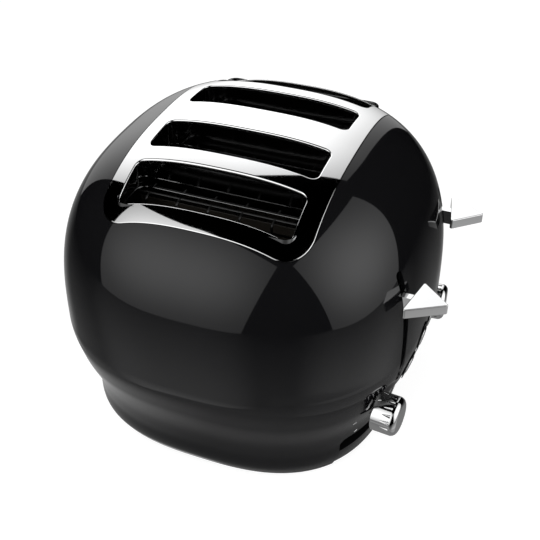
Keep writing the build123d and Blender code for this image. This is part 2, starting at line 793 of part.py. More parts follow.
# Lift parts of each half: frame, bracket, stem, paddle, armature and spring
for half, side in halves.items():
    middle = side * half_centre
    magnet_row = side * magnet_y
    near_face = chamber_length / 2 + end_sheet
    with BuildPart() as lift_frame:
        with BuildSketch(Plane.YZ.offset(near_face)):
            with Locations((middle, (magnet_shelf + frame_top) / 2)):
                Rectangle(frame_width, frame_top - magnet_shelf)
            with Locations(((middle + magnet_row) / 2, (magnet_shelf + frame_foot) / 2)):
                Rectangle(abs(middle - magnet_row) + shelf_width, frame_foot - magnet_shelf)
        extrude(amount=frame_sheet)
        for level in (frame_foot, frame_top):
            with BuildSketch(Plane.XY.offset(level)):
                with Locations((near_face + flange_reach / 2, middle)):
                    Rectangle(flange_reach, flange_width)
                with Locations((rod_x, middle)):
                    Circle(rod_radius + shaft_fit, mode=Mode.SUBTRACT)
            extrude(amount=flange_sheet)
        with BuildSketch(Plane.XY.offset(magnet_shelf)):
            with Locations((near_face + flange_reach / 2, magnet_row)):
                Rectangle(flange_reach, shelf_width)
        extrude(amount=flange_sheet)
    save(lift_frame, f"lift_frame_{half}")

    rack_rows = [y for y in slot_rows if y * side > 0]
    with BuildPart() as lift_bracket:
        with BuildSketch(Plane.YZ.offset(lift_plate_x)):
            with Locations((middle, rack_top - rack_height + lift_plate_height / 2)):
                Rectangle(slot_pitch + 2 * lift_overhang, lift_plate_height)
        extrude(amount=lift_sheet)
        with BuildSketch(Plane.XY.offset(rest_hub_bottom)):
            with Locations((lift_plate_x + lift_sheet + hub_reach / 2, middle)):
                Rectangle(hub_reach, 2 * hub_half_width)
        extrude(amount=hub_height)
        with BuildSketch(Plane.XY.offset(rack_top - rack_height)):
            with Locations((lift_plate_x + armature_size / 2 + armature_margin, magnet_row)):
                Rectangle(armature_size + 2 * armature_margin, armature_size)
        extrude(amount=lift_sheet)
        with BuildSketch(Plane.XY.offset(rest_hub_bottom)):
            with Locations((rod_x, middle)):
                Circle(rod_radius + running_gap)
        extrude(amount=hub_height, mode=Mode.SUBTRACT)
    save(lift_bracket, f"lift_bracket_{half}")

    with BuildPart() as latch_armature:
        with BuildSketch(Plane.XY.offset(rack_top - rack_height - armature_post)):
            with Locations((magnet_x, magnet_row)):
                Circle(armature_post_radius)
        extrude(amount=armature_post)
        with BuildSketch(
            Plane.XY.offset(rack_top - rack_height - armature_post - armature_thickness)
        ):
            with Locations((magnet_x, magnet_row)):
                Rectangle(armature_size - armature_margin, armature_size)
        extrude(amount=armature_thickness)
    save(latch_armature, f"latch_armature_{half}")

    # The paddle is a flat triangle whose base follows the shell
    turn = math.radians(paddle_turn)
    along_base = Vector(-side * math.sin(turn), math.cos(turn), 0)
    base_middle = Vector(paddle_offset, middle, 0)
    base_ends = [base_middle + along_base * (step * paddle_base / 2) for step in (-1, 1)]
    apex = base_middle + Vector(paddle_reach, 0, 0)
    with BuildPart() as lever_stem:
        with BuildSketch(Plane.YZ.offset(lift_plate_x + lift_sheet + hub_reach)):
            with Locations((middle, stem_centre)):
                Rectangle(stem_width, stem_height)
        extrude(amount=girth_half_length / 2)
        base_plane = Plane(origin=base_middle, z_dir=Vector(math.cos(turn), side * math.sin(turn), 0))
        split(bisect_by=base_plane, keep=Keep.BOTTOM)
        with BuildSketch(Plane.YZ.offset(paddle_offset - tongue_length)):
            with Locations((middle, paddle_top - paddle_thickness / 2)):
                Rectangle(tongue_width, tongue_height)
        extrude(amount=2 * tongue_length)
    save(lever_stem, f"lever_stem_{half}")

    with BuildPart() as lever_handle:
        with BuildSketch(Plane.XY.offset(paddle_top - paddle_thickness)):
            with BuildLine():
                Polyline(base_ends[0], base_ends[1], apex, close=True)
            make_face()
            fillet(vertices(), paddle_corner)
        extrude(amount=paddle_thickness)
        fillet(lever_handle.faces().sort_by(Axis.Z)[-1].edges(), paddle_corner / 2)
        with BuildSketch(Plane.YZ.offset(paddle_offset - tongue_length)):
            with Locations((middle, paddle_top - paddle_thickness / 2)):
                Rectangle(tongue_width + 2 * tongue_fit, tongue_height + 2 * tongue_fit)
        extrude(amount=2 * tongue_length + tongue_fit, mode=Mode.SUBTRACT)
    save(lever_handle, f"lever_handle_{half}")

    with BuildPart() as return_spring:
        with BuildSketch(Plane.XY.offset(frame_foot + flange_sheet)):
            with Locations((rod_x, middle)):
                Circle(rod_radius + spring_clearance + spring_wire)
                Circle(rod_radius + spring_clearance, mode=Mode.SUBTRACT)
        extrude(amount=rest_hub_bottom - frame_foot - flange_sheet)
    save(return_spring, f"return_spring_{half}")

    # Browning knob, hollow behind, with a hub on its shaft
    with BuildPart() as browning_knob:
        with BuildSketch(axis_plane(side, knob_gap)):
            Circle(knob_radius)
        extrude(amount=knob_length)
        front_edge = browning_knob.faces().sort_by(Axis.X)[-1].edges()
        fillet(front_edge, knob_rim)
        with BuildSketch(axis_plane(side, knob_gap)):
            Circle(knob_radius - knob_skirt)
            Circle(knob_hub_radius, mode=Mode.SUBTRACT)
        extrude(amount=knob_hollow, mode=Mode.SUBTRACT)
        with BuildSketch(axis_plane(side, knob_gap)):
            Circle(shaft_radius + shaft_fit)
        extrude(amount=knob_hollow, mode=Mode.SUBTRACT)
        with BuildSketch(axis_plane(side, knob_gap + knob_length - pointer_depth)):
            with Locations((0, knob_radius - knob_rim - pointer_length / 2)):
                SlotOverall(pointer_length, pointer_width, rotation=90)
        extrude(amount=pointer_depth, mode=Mode.SUBTRACT)
    save(browning_knob, f"browning_knob_{half}")

    with BuildPart() as knob_shaft:
        with BuildSketch(axis_plane(side, -shaft_tail)):
            Circle(shaft_radius)
        extrude(amount=shaft_tail + knob_gap + knob_hollow)
    save(knob_shaft, f"knob_shaft_{half}")

# Guide rods that the lift brackets slide on
with BuildPart() as guide_rods:
    with BuildSketch(Plane.XY.offset(frame_foot)):
        with Locations(*[(rod_x, side * half_centre) for side in (-1, 1)]):
            Circle(rod_radius)
    extrude(amount=frame_top + flange_sheet - frame_foot)
save(guide_rods, "guide_rods")

# Magnets that hold the racks down while the timer runs
with BuildPart() as latch_magnets:
    shelf_top = magnet_shelf + flange_sheet
    for side in (-1, 1):
        with BuildSketch(Plane.XY.offset(shelf_top)):
            with Locations((magnet_x, side * magnet_y)):
                Circle(magnet_core_radius)
        extrude(amount=magnet_top - shelf_top)
        with BuildSketch(Plane.XY.offset(shelf_top + magnet_coil_base)):
            with Locations((magnet_x, side * magnet_y)):
                Circle(magnet_coil_radius)
        extrude(amount=magnet_top - shelf_top - magnet_coil_base - magnet_coil_drop)
save(latch_magnets, "latch_magnets")

# Timer boards, each standing on the hood behind its dial
board_bottom = bay_top + bay_sheet
board_top = frame_foot - foot_gap
with BuildPart() as timer_boards:
    for side in (-1, 1):
        with BuildSketch(axis_plane(side, -dial_place - dial_length - board_thickness)):
            with Locations((0, (board_bottom + board_top) / 2 - knob_height)):
                Rectangle(board_width, board_top - board_bottom)
        extrude(amount=board_thickness)
save(timer_boards, "timer_boards")

with BuildPart() as timer_dials:
    for side in (-1, 1):
        with BuildSketch(axis_plane(side, -dial_place - dial_length)):
            Circle(dial_radius)
        extrude(amount=dial_length)
        with BuildSketch(axis_plane(side, -dial_place)):
            Circle(bushing_radius)
        extrude(amount=dial_place - bushing_back)
        with BuildSketch(axis_plane(side, -shaft_tail - running_gap)):
            Circle(shaft_radius + running_gap)
        extrude(amount=shaft_tail + knob_gap, mode=Mode.SUBTRACT)
save(timer_dials, "timer_dials")

# Push buttons with their bezels and switches
bezel_inner = button_radius + bezel_bore_gap
bezel_outer = bezel_inner + bezel_wall
with BuildPart() as button_bezels:
    for side, angle in button_places:
        with BuildSketch(button_plane(side, angle, 0)):
            Circle(bezel_outer + bezel_flange)
        extrude(amount=bezel_proud)
    add(outer_form, mode=Mode.SUBTRACT)
    for side, angle in button_places:
        with BuildSketch(button_plane(side, angle, -bezel_depth)):
            Circle(bezel_outer)
        extrude(amount=bezel_depth + bezel_proud)
        with BuildSketch(button_plane(side, angle, -bezel_depth)):
            Circle(bezel_inner)
        extrude(amount=bezel_depth + 2 * bezel_proud, mode=Mode.SUBTRACT)
save(button_bezels, "button_bezels")

with BuildPart() as button_switches:
    for side, angle in button_places:
        with BuildSketch(button_plane(side, angle, -bezel_depth - switch_depth)):
            Circle(bezel_outer)
        extrude(amount=switch_depth)
        with BuildSketch(button_plane(side, angle, -bezel_depth - switch_depth - pin_length)):
            with GridLocations(pin_pitch, 0, 2, 1):
                Rectangle(pin_thickness, pin_width)
        extrude(amount=pin_length)
save(button_switches, "button_switches")

button_names = ["front_outer", "front_inner", "rear_inner", "rear_outer"]
button_order = [(-1, arch_angles[1]), (-1, arch_angles[0]), (1, arch_angles[0]), (1, arch_angles[1])]
for name, (side, angle) in zip(button_names, button_order):
    with BuildPart() as push_button:
        with BuildSketch(button_plane(side, angle, button_proud - button_length)):
            Circle(button_radius)
        extrude(amount=button_length)
        fillet(push_button.faces().sort_by(Axis.X)[-1].edges(), button_dome)
    save(push_button, f"push_button_{name}")

# Crumb tray: a shallow sheet tray with a moulded front that follows the shell
with BuildPart() as tray_front:
    with BuildSketch(Plane.XY.offset(tray_front_bottom)):
        with Locations((bay_back + girth_half_length / 2, 0)):
            Rectangle(girth_half_length, bay_width - 2 * tray_side_gap)
    extrude(amount=tray_front_top - tray_front_bottom)
    add(body_form(tray_front_inset), mode=Mode.INTERSECT)
    add(body_form(tray_front_back), mode=Mode.SUBTRACT)
save(tray_front, "crumb_tray_front")

with BuildPart() as crumb_tray:
    with BuildSketch(Plane.XY.offset(tray_floor)):
        with Locations((tray_back + girth_half_length, 0)):
            Rectangle(2 * girth_half_length, tray_width)
    extrude(amount=tray_wall_top - tray_floor)
    with BuildSketch(Plane.XY.offset(tray_floor + tray_sheet)):
        with Locations((tray_back + girth_half_length + tray_sheet, 0)):
            Rectangle(2 * girth_half_length, tray_width - 2 * tray_sheet)
    extrude(amount=tray_wall_top, mode=Mode.SUBTRACT)
    add(body_form(tray_front_back), mode=Mode.INTERSECT)
save(crumb_tray, "crumb_tray")

# Gland where the mains lead enters, at the far end
with BuildPart() as cord_gland:
    far_wall = wall_x(0, gland_height)
    with BuildSketch(Plane.YZ.offset(-far_wall - gland_flange)):
        with Locations((0, gland_height)):
            Circle(gland_flange_radius)
    extrude(amount=2 * gland_flange)
    add(outer_form, mode=Mode.SUBTRACT)
    with BuildSketch(Plane.YZ.offset(-far_wall - gland_flange)):
        with Locations((0, gland_height)):
            Circle(gland_hole_radius - gland_fit)
    extrude(amount=gland_flange + shell_wall + gland_inner_length)
    with BuildSketch(Plane.YZ.offset(-far_wall - gland_flange)):
        with Locations((0, gland_height)):
            Circle(gland_bore_radius)
    extrude(amount=girth_half_length / 2, mode=Mode.SUBTRACT)
save(cord_gland, "cord_gland")
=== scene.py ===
# %% [markdown]
# # A four-slice toaster, dressed for its portrait
# The toaster is a gloss-black moulded body with a chrome plate let into its crown. Its
# construction comes ready made as a frame of solid pieces at their real size. This lesson
# gives that frame its looks: dense smooth skins for the pieces that mirror their
# surroundings, the trims round the slots, and a finish for every surface.

import json
import math

import bmesh
import bpy
import numpy as np
from mathutils import Matrix, Vector


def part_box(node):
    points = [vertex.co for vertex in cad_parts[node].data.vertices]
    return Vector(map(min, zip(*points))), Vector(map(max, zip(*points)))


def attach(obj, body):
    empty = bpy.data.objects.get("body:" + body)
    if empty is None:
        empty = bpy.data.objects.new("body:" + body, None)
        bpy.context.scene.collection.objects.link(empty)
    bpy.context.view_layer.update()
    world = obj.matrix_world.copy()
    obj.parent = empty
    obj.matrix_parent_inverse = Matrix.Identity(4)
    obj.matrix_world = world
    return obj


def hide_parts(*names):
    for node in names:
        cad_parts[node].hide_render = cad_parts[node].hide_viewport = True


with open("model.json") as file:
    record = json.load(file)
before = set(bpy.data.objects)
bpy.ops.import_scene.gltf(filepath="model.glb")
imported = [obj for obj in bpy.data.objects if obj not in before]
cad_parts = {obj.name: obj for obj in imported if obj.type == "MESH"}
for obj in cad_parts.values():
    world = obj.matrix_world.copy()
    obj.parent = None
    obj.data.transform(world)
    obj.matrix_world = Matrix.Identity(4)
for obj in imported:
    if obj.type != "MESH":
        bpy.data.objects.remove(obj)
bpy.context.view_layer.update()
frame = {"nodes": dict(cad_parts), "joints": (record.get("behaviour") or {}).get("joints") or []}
nodes = frame["nodes"]
joints = {joint["name"]: joint for joint in frame["joints"]}
print("frame loaded,", len(nodes), "nodes")

# %% [markdown]
# ## Sizes
# Lengths are in metres. Places that the frame already fixes, such as the middle of the
# body and the rows of slots, are read from its pieces, so that nothing has to be fitted.

# %% Sizes of the body
MM = 0.001
FOOT_HEIGHT = 3.0 * MM
GIRTH_HEIGHT = 98.2 * MM
CROWN_RISE = 145.4 * MM
GIRTH_HALF_LENGTH = 148.0 * MM
GIRTH_HALF_WIDTH = 153.0 * MM
CROWN_POWER = 2.84
GIRTH_POWER = 2.54
BASE_POWER = 2.73
SHELL_WALL = 3.0 * MM
SKIRT_STATIONS = np.array(
    [
        (0.0, 126.0, 129.5),
        (12.0, 128.0, 136.0),
        (25.0, 129.4, 135.6),
        (41.0, 133.0, 137.8),
        (67.0, 143.0, 146.5),
        (98.2, 148.0, 153.0),
    ]
) * MM

plate_low, plate_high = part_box("top_plate")
BODY_X = (plate_low.x + plate_high.x) / 2
PLATE_LENGTH = plate_high.x - plate_low.x
PLATE_WIDTH = plate_high.y - plate_low.y
PLATE_CORNER = 23.0 * MM
PLATE_THICKNESS = 1.2 * MM
PLATE_SEAM = 0.5 * MM
SLOT_LENGTH = 132.0 * MM
SLOT_WIDTH = 36.0 * MM
SLOT_CORNER = 6.0 * MM
slot_rows = [sum(corner.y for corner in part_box(f"slot_liner_{n}")) / 2 for n in (1, 2, 3, 4)]
print("body middle at x", round(BODY_X, 5), "slot rows", [round(y, 4) for y in slot_rows])

# %% [markdown]
# ## The form of the body
# The body is one closed form: level sections that are rounded squares of varying size.
# Above the girth they shrink along a flattened arc, and below it they follow a smooth
# line through a few stations of the skirt. The same form gives the surface normals, so
# the gloss reflects as a true curved surface would, and not as facets.


# %% Level sections


def skirt_sizes(height):
    """Half length and half width of the lower body at heights above its edge."""
    stations = SKIRT_STATIONS
    heights = stations[:, 0]
    last = len(heights) - 1
    before = np.maximum(np.arange(last) - 1, 0)
    after = np.arange(last) + 1
    slopes = stations[after, 1:] - stations[before, 1:]
    slopes = slopes / (heights[after] - heights[before])[:, None]
    slopes = np.vstack([slopes, [0.0, 0.0]])
    height = np.clip(height, 0.0, GIRTH_HEIGHT)
    i = np.clip(np.searchsorted(heights, height, side="right") - 1, 0, last - 1)
    step = (heights[i + 1] - heights[i])[..., None]
    t = ((height - heights[i])[..., None]) / step
    return (
        (2 * t**3 - 3 * t**2 + 1) * stations[i, 1:]
        + (t**3 - 2 * t**2 + t) * step * slopes[i]
        + (3 * t**2 - 2 * t**3) * stations[i + 1, 1:]
        + (t**3 - t**2) * step * slopes[i + 1]
    )


def level_section(height, inset=0.0):
    """Half length, half width and corner power at heights above the body's edge."""
    height = np.asarray(height, float)
    rise = np.clip((height - GIRTH_HEIGHT) / (CROWN_RISE - inset), 0.0, 0.9999999)
    share = (1 - rise**CROWN_POWER) ** (1 / CROWN_POWER)
    lower = skirt_sizes(height)
    above = height >= GIRTH_HEIGHT
    half_length = np.where(above, GIRTH_HALF_LENGTH, lower[..., 0]) - inset
    half_width = np.where(above, GIRTH_HALF_WIDTH, lower[..., 1]) - inset
    blend = np.clip(height / GIRTH_HEIGHT, 0, 1)
    power = BASE_POWER + (GIRTH_POWER - BASE_POWER) * blend
    return half_length * share, half_width * share, power


# %% [markdown]
# ## Fields and normals
# The form is also a field that is 1 on the surface. Its slope gives the exact normal
# anywhere, and solving it gives the height of the crown and the place of the end wall.

# %% Fields and normals


def body_field(x, y, z):
    """A value that is 1 on the body's surface, less inside and more outside."""
    half_length, half_width, power = level_section(z - FOOT_HEIGHT)
    return (np.abs(x - BODY_X) / half_length) ** power + (np.abs(y) / half_width) ** power


def crown_field(x, y, z):
    """Like body_field, but smooth over the top, for places above the girth."""
    reach = (np.abs(x - BODY_X) / GIRTH_HALF_LENGTH) ** GIRTH_POWER
    reach = reach + (np.abs(y) / GIRTH_HALF_WIDTH) ** GIRTH_POWER
    rise = np.maximum(z - FOOT_HEIGHT - GIRTH_HEIGHT, 0) / CROWN_RISE
    return reach ** (CROWN_POWER / GIRTH_POWER) + rise**CROWN_POWER


def body_normals(points):
    """Outward unit normals of the body's surface at an array of points near it."""
    step = 0.02 * MM
    high = points[:, 2] > FOOT_HEIGHT + GIRTH_HEIGHT + step
    slopes = []
    for axis in range(3):
        ahead, behind = points.copy(), points.copy()
        ahead[:, axis] += step
        behind[:, axis] -= step
        crown = crown_field(*ahead.T) - crown_field(*behind.T)
        lower = body_field(*ahead.T) - body_field(*behind.T)
        slopes.append(np.where(high, crown, lower))
    slopes = np.stack(slopes, axis=1)
    return slopes / np.linalg.norm(slopes, axis=1, keepdims=True)


def crown_height(x, y, inset=0.0):
    """Height of the crown above the table at places in plan."""
    reach = (np.abs(x - BODY_X) / (GIRTH_HALF_LENGTH - inset)) ** GIRTH_POWER
    reach = reach + (np.abs(y) / (GIRTH_HALF_WIDTH - inset)) ** GIRTH_POWER
    rise = (1 - np.clip(reach, 0, 1) ** (CROWN_POWER / GIRTH_POWER)) ** (1 / CROWN_POWER)
    return FOOT_HEIGHT + GIRTH_HEIGHT + (CROWN_RISE - inset) * rise


def wall_place(y, z):
    """The point of the control end's surface at a place across and up, and its normal."""
    half_length, half_width, power = level_section(z - FOOT_HEIGHT)
    x = BODY_X + half_length * (1 - (abs(y) / half_width) ** power) ** (1 / power)
    point = np.array([[float(x), y, z]])
    return Vector(point[0]), Vector(body_normals(point)[0])


# %% [markdown]
# ## Small helpers
# A few helpers keep the later cells short. Each works in the way that a modeller works by
# hand: one object is active, it is shaped in edit mode, and its modifiers are applied.


# %% Object helpers


def only(obj):
    """Make one object the only selected and active one."""
    bpy.ops.object.select_all(action="DESELECT")
    obj.select_set(True)
    bpy.context.view_layer.objects.active = obj
    return obj


def named(name):
    """The object that an operator has just made, under its own name."""
    obj = bpy.context.object
    obj.name = name
    obj.data.name = name
    return only(obj)


def settle(obj, matrix=None):
    """Put an object's place into its mesh, and leave the object at the origin."""
    bpy.context.view_layer.update()
    obj.data.transform((matrix or Matrix.Identity(4)) @ obj.matrix_world)
    obj.matrix_world = Matrix.Identity(4)
    return obj


def in_edit(obj, *steps):
    """Run edit-mode steps on all of a mesh."""
    only(obj)
    bpy.ops.object.mode_set(mode="EDIT")
    bpy.ops.mesh.select_all(action="SELECT")
    for step in steps:
        step()
    bpy.ops.object.mode_set(mode="OBJECT")
    return obj


def modify(obj, kind, **settings):
    """Add a modifier, set it and apply it."""
    only(obj)
    modifier = obj.modifiers.new(kind.title(), kind)
    for key, value in settings.items():
        setattr(modifier, key, value)
    bpy.ops.object.modifier_apply(modifier=modifier.name)
    return obj


def cut(obj, cutter, operation="DIFFERENCE"):
    """Combine one closed mesh with another, and delete the other."""
    modify(obj, "BOOLEAN", object=cutter, operation=operation, solver="EXACT")
    bpy.data.objects.remove(cutter)
    return obj


# %% [markdown]
# ## Mesh helpers
# These read and write the points of a mesh, and shade it.

# %% Mesh helpers


def remake(obj, places):
    """Move every vertex of a mesh to a new place, given as an array."""
    obj.data.vertices.foreach_set("co", np.asarray(places, np.float32).ravel())
    obj.data.update()
    return obj


def vertex_array(obj):
    """The places of a mesh's vertices as an array."""
    places = np.zeros(len(obj.data.vertices) * 3, np.float32)
    obj.data.vertices.foreach_get("co", places)
    return places.reshape(-1, 3).astype(float)


def smooth(obj, degrees=35):
    """Shade smooth, and leave edges sharper than an angle crisp."""
    only(obj)
    bpy.ops.object.shade_smooth_by_angle(angle=math.radians(degrees))
    return obj


# %% [markdown]
# ## Turned forms
# A turned form is a profile spun round its axis. Profiles are built from arcs.

# %% Turned forms


def from_points(name, verts, edges, faces):
    """A new object from lists of points, edges and faces."""
    mesh = bpy.data.meshes.new(name)
    mesh.from_pydata(verts, edges, faces)
    obj = bpy.data.objects.new(name, mesh)
    bpy.context.collection.objects.link(obj)
    return obj


def facing(direction, origin):
    """A matrix that turns +Z to a direction and keeps the local Y as upright as it can be."""
    z = Vector(direction).normalized()
    x = Vector((0, 0, 1)).cross(z)
    x = Vector((1, 0, 0)) if x.length < 1e-6 else x.normalized()
    y = z.cross(x)
    turn = Matrix((x, y, z)).transposed().to_4x4()
    return Matrix.Translation(Vector(origin)) @ turn


def lathe(name, profile, matrix, steps=96):
    """Spin a profile of (radius, height) points round its axis, and place the result."""
    points = [(radius, 0.0, height) for radius, height in profile]
    obj = from_points(name, points, [(i, i + 1) for i in range(len(points) - 1)], [])

    def spin():
        bpy.ops.mesh.spin(steps=steps, angle=2 * math.pi, center=(0, 0, 0), axis=(0, 0, 1))

    def merge():
        bpy.ops.mesh.select_all(action="SELECT")
        bpy.ops.mesh.remove_doubles(threshold=0.005 * MM)
        bpy.ops.mesh.normals_make_consistent(inside=False)

    in_edit(obj, spin, merge)
    return settle(obj, matrix)


def arc(centre, radius, start, end, count):
    """Points of an arc in a profile, with angles in degrees."""
    angles = [math.radians(start + (end - start) * k / count) for k in range(count + 1)]
    return [(centre[0] + radius * math.cos(a), centre[1] + radius * math.sin(a)) for a in angles]


# %% [markdown]
# ## Outlines and prisms
# Flat outlines are drawn in plan and raised into prisms, which serve as slabs and as
# cutters.

# %% Outlines and prisms


def rounded_outline(length, width, corner, per_corner=12, side_step=3.0 * MM):
    """Points and outward directions round a rounded rectangle about the origin."""
    points = []
    inner = (length / 2 - corner, width / 2 - corner)
    turns = [(1, 1, 0), (-1, 1, 90), (-1, -1, 180), (1, -1, 270)]
    for k, (sx, sy, start) in enumerate(turns):
        for i in range(per_corner + 1):
            angle = math.radians(start + 90 * i / per_corner)
            away = (math.cos(angle), math.sin(angle))
            middle = (sx * inner[0], sy * inner[1])
            points.append(
                (middle[0] + corner * away[0], middle[1] + corner * away[1], *away)
            )
        nx, ny, _ = turns[(k + 1) % 4]
        target = (nx * inner[0] + corner * away[0], ny * inner[1] + corner * away[1])
        here = points[-1]
        gap = math.hypot(target[0] - here[0], target[1] - here[1])
        count = max(int(gap / side_step), 1)
        for i in range(1, count):
            share = i / count
            points.append(
                (
                    here[0] + (target[0] - here[0]) * share,
                    here[1] + (target[1] - here[1]) * share,
                    *away,
                )
            )
    return np.array(points)


def prism(name, outline, low, high, matrix=None):
    """A closed prism over a flat outline, between two heights."""
    obj = from_points(name, [(x, y, low) for x, y in outline], [], [range(len(outline))])

    def raise_up():
        bpy.ops.mesh.extrude_region_move(TRANSFORM_OT_translate={"value": (0, 0, high - low)})
        bpy.ops.mesh.select_all(action="SELECT")
        bpy.ops.mesh.normals_make_consistent(inside=False)

    in_edit(obj, raise_up)
    return settle(obj, matrix)


# %% [markdown]
# ## Finishes as expressions
# A finish is written as sums of masks and values, so one small class wraps a node's
# output and lets ordinary arithmetic build the nodes behind it.


# %% Shader arithmetic


class Wire:
    """One output socket of a node tree, with arithmetic that adds Math nodes."""

    def __init__(self, tree, socket):
        self.tree = tree
        self.socket = socket

    def node(self, kind, settings=None, inputs=None, output=0):
        """Add a node, set it, feed its sockets and give one of its outputs."""
        made = self.tree.nodes.new(kind)
        for key, value in (settings or {}).items():
            setattr(made, key, value)
        for key, value in (inputs or {}).items():
            if isinstance(value, Wire):
                self.tree.links.new(value.socket, made.inputs[key])
            else:
                made.inputs[key].default_value = value
        return Wire(self.tree, made.outputs[output])

    def combine(self, operation, first, second=0.0):
        inputs = {0: first, 1: second}
        return self.node("ShaderNodeMath", {"operation": operation}, inputs)

    def __add__(self, other):
        return self.combine("ADD", self, other)

    def __radd__(self, other):
        return self.combine("ADD", other, self)

    def __sub__(self, other):
        return self.combine("SUBTRACT", self, other)

    def __rsub__(self, other):
        return self.combine("SUBTRACT", other, self)

    def __mul__(self, other):
        return self.combine("MULTIPLY", self, other)

    def __rmul__(self, other):
        return self.combine("MULTIPLY", other, self)

    def split(self):
        """The X, Y and Z of a vector, each as a wire."""
        parts = self.node("ShaderNodeSeparateXYZ", None, {0: self}).socket.node
        return [Wire(self.tree, output) for output in parts.outputs]

    def between(self, low, high):
        """0 below low, 1 above high, and smooth in between."""
        inputs = {"Value": self, "From Min": low, "From Max": high, "To Min": 0.0, "To Max": 1.0}
        settings = {"interpolation_type": "SMOOTHSTEP"}
        return self.node("ShaderNodeMapRange", settings, inputs)

    def mix(self, low, high):
        """A colour between two colours, by this value."""
        inputs = {"Factor": self, 6: low, 7: high}
        return self.node("ShaderNodeMix", {"data_type": "RGBA"}, inputs, output=2)


# %% [markdown]
# ## Material helpers
# Each material starts from the same few nodes, and its sockets are fed by name.

# %% Material helpers


def new_material(name):
    """A material with its Principled shader and the object's own coordinates."""
    material = bpy.data.materials.new(name)
    material.use_nodes = True
    tree = material.node_tree
    shader = tree.nodes["Principled BSDF"]
    coordinates = tree.nodes.new("ShaderNodeTexCoord")
    return material, shader, Wire(tree, coordinates.outputs["Object"])


def noise(place, scale, detail=3.0, roughness=0.5):
    """Fine irregular values over a surface."""
    inputs = {"Vector": place, "Scale": scale, "Detail": detail, "Roughness": roughness}
    return place.node("ShaderNodeTexNoise", None, inputs)


def feed(shader, **values):
    """Feed a shader's sockets by name, with links or constants."""
    for key, value in values.items():
        socket = shader.inputs[key.replace("_", " ")]
        if isinstance(value, Wire):
            value.tree.links.new(value.socket, socket)
        else:
            socket.default_value = value


def bumped(shader, height, strength, distance):
    """Let a value raise and lower the surface slightly."""
    inputs = {"Height": height, "Strength": strength, "Distance": distance}
    feed(shader, Normal=height.node("ShaderNodeBump", None, inputs))


# %% [markdown]
# ## Finishes
# The moulded body is a hard gloss black. The crown plate, knobs and buttons are chromed.
# The lever handles are polished but a little softer. Inside the slots the steel, liners, guards
# and mica cards are dimmed as painted shade, and only the wire guards keep a shine.


# %% Finish recipes


def gloss_black():
    """Deep black moulded plastic with a polished face and faint unevenness in the polish."""
    material, shader, place = new_material("gloss_black")
    cloud = noise(place, 9.0, 4.0)
    fine = noise(place, 900.0, 2.0)
    feed(shader, Base_Color=cloud.mix((0.0035, 0.0035, 0.004, 1), (0.006, 0.006, 0.0065, 1)))
    feed(shader, Roughness=0.025 + cloud * 0.02 + fine * 0.01)
    shader.inputs["IOR"].default_value = 1.5
    bumped(shader, noise(place, 160.0, 1.0), 0.03, 0.02 * MM)
    return material


def chrome(name="chrome", base=0.9, rough=0.025, haze=0.03):
    """Bright plating with a faint haze that varies, as wiping leaves it."""
    material, shader, place = new_material(name)
    cloud = noise(place, 14.0, 4.0)
    drawn = place.node("ShaderNodeMapping", None, {"Vector": place, "Scale": (40, 600, 600)})
    wipe = noise(drawn, 1.0, 2.0)
    feed(shader, Metallic=1.0)
    worn = (base * 0.97, base * 0.975, base * 0.98, 1)
    feed(shader, Base_Color=cloud.mix((base, base, base, 1), worn))
    feed(shader, Roughness=rough + cloud * haze * 0.6 + wipe * haze * 0.4)
    return material


def steel(name, base, rough, grain=(1, 60, 60), tint=(1.0, 1.0, 1.0), contrast=0.25):
    """Rolled sheet or wire with a grain and a heat-worn tone."""
    material, shader, place = new_material(name)
    scaled = place.node("ShaderNodeMapping", None, {"Vector": place, "Scale": grain})
    lines = noise(scaled, 60.0, 3.0)
    cloud = noise(place, 30.0, 4.0)
    dark = tuple(base * (1 - contrast) * t for t in tint) + (1,)
    light = tuple(base * t for t in tint) + (1,)
    feed(shader, Metallic=1.0)
    feed(shader, Base_Color=(lines * 0.5 + cloud * 0.5).mix(dark, light))
    feed(shader, Roughness=rough + lines * 0.12)
    bumped(shader, lines, 0.08, 0.05 * MM)
    return material


def plain(name, colour, rough, speckle=0.15, scale=250.0, bump=0.1):
    """A moulded, pressed or rubber surface with a fine speckle."""
    material, shader, place = new_material(name)
    grain = noise(place, scale, 3.0)
    dark = tuple(c * (1 - speckle) for c in colour) + (1,)
    light = tuple(min(c * (1 + speckle), 1.0) for c in colour) + (1,)
    feed(shader, Base_Color=grain.mix(dark, light))
    feed(shader, Roughness=rough + (grain - 0.5) * 0.1)
    bumped(shader, grain, bump, 0.05 * MM)
    return material


# %% [markdown]
# ## The materials
# Each finish is made once and shared by the pieces that wear it.

# %% The materials
GLOSS_BLACK = gloss_black()
CHROME = chrome()
HANDLE_METAL = chrome("handle_metal", 0.86, 0.06, 0.05)
# Painted shade: the chamber steel is given a near-black colour, 0.03, for the shadow inside the
# slots.
SLOT_SHADE_STEEL = steel("steel_painted_dark_for_slot_shade", 0.03, 0.32, tint=(1.0, 0.96, 0.92))
# Painted shade: the liners' plating is dimmed to 0.26 for the dark inside of the slots; their
# polish is real.
LINER_STEEL = chrome("polished_liner_steel", 0.26, 0.07, 0.02)
# Painted shade: the guard wire is dimmed to 0.1 for the shadow inside the slots; its shine is
# real.
GUARD_STEEL = steel("guard_wire_steel", 0.1, 0.3, contrast=0.35)
RACK_STEEL = steel("rack_steel", 0.30, 0.3)
PAN_STEEL = steel("galvanised_sheet", 0.42, 0.38, grain=(1, 1, 1))
SHAFT_STEEL = steel("shaft_steel", 0.6, 0.18)
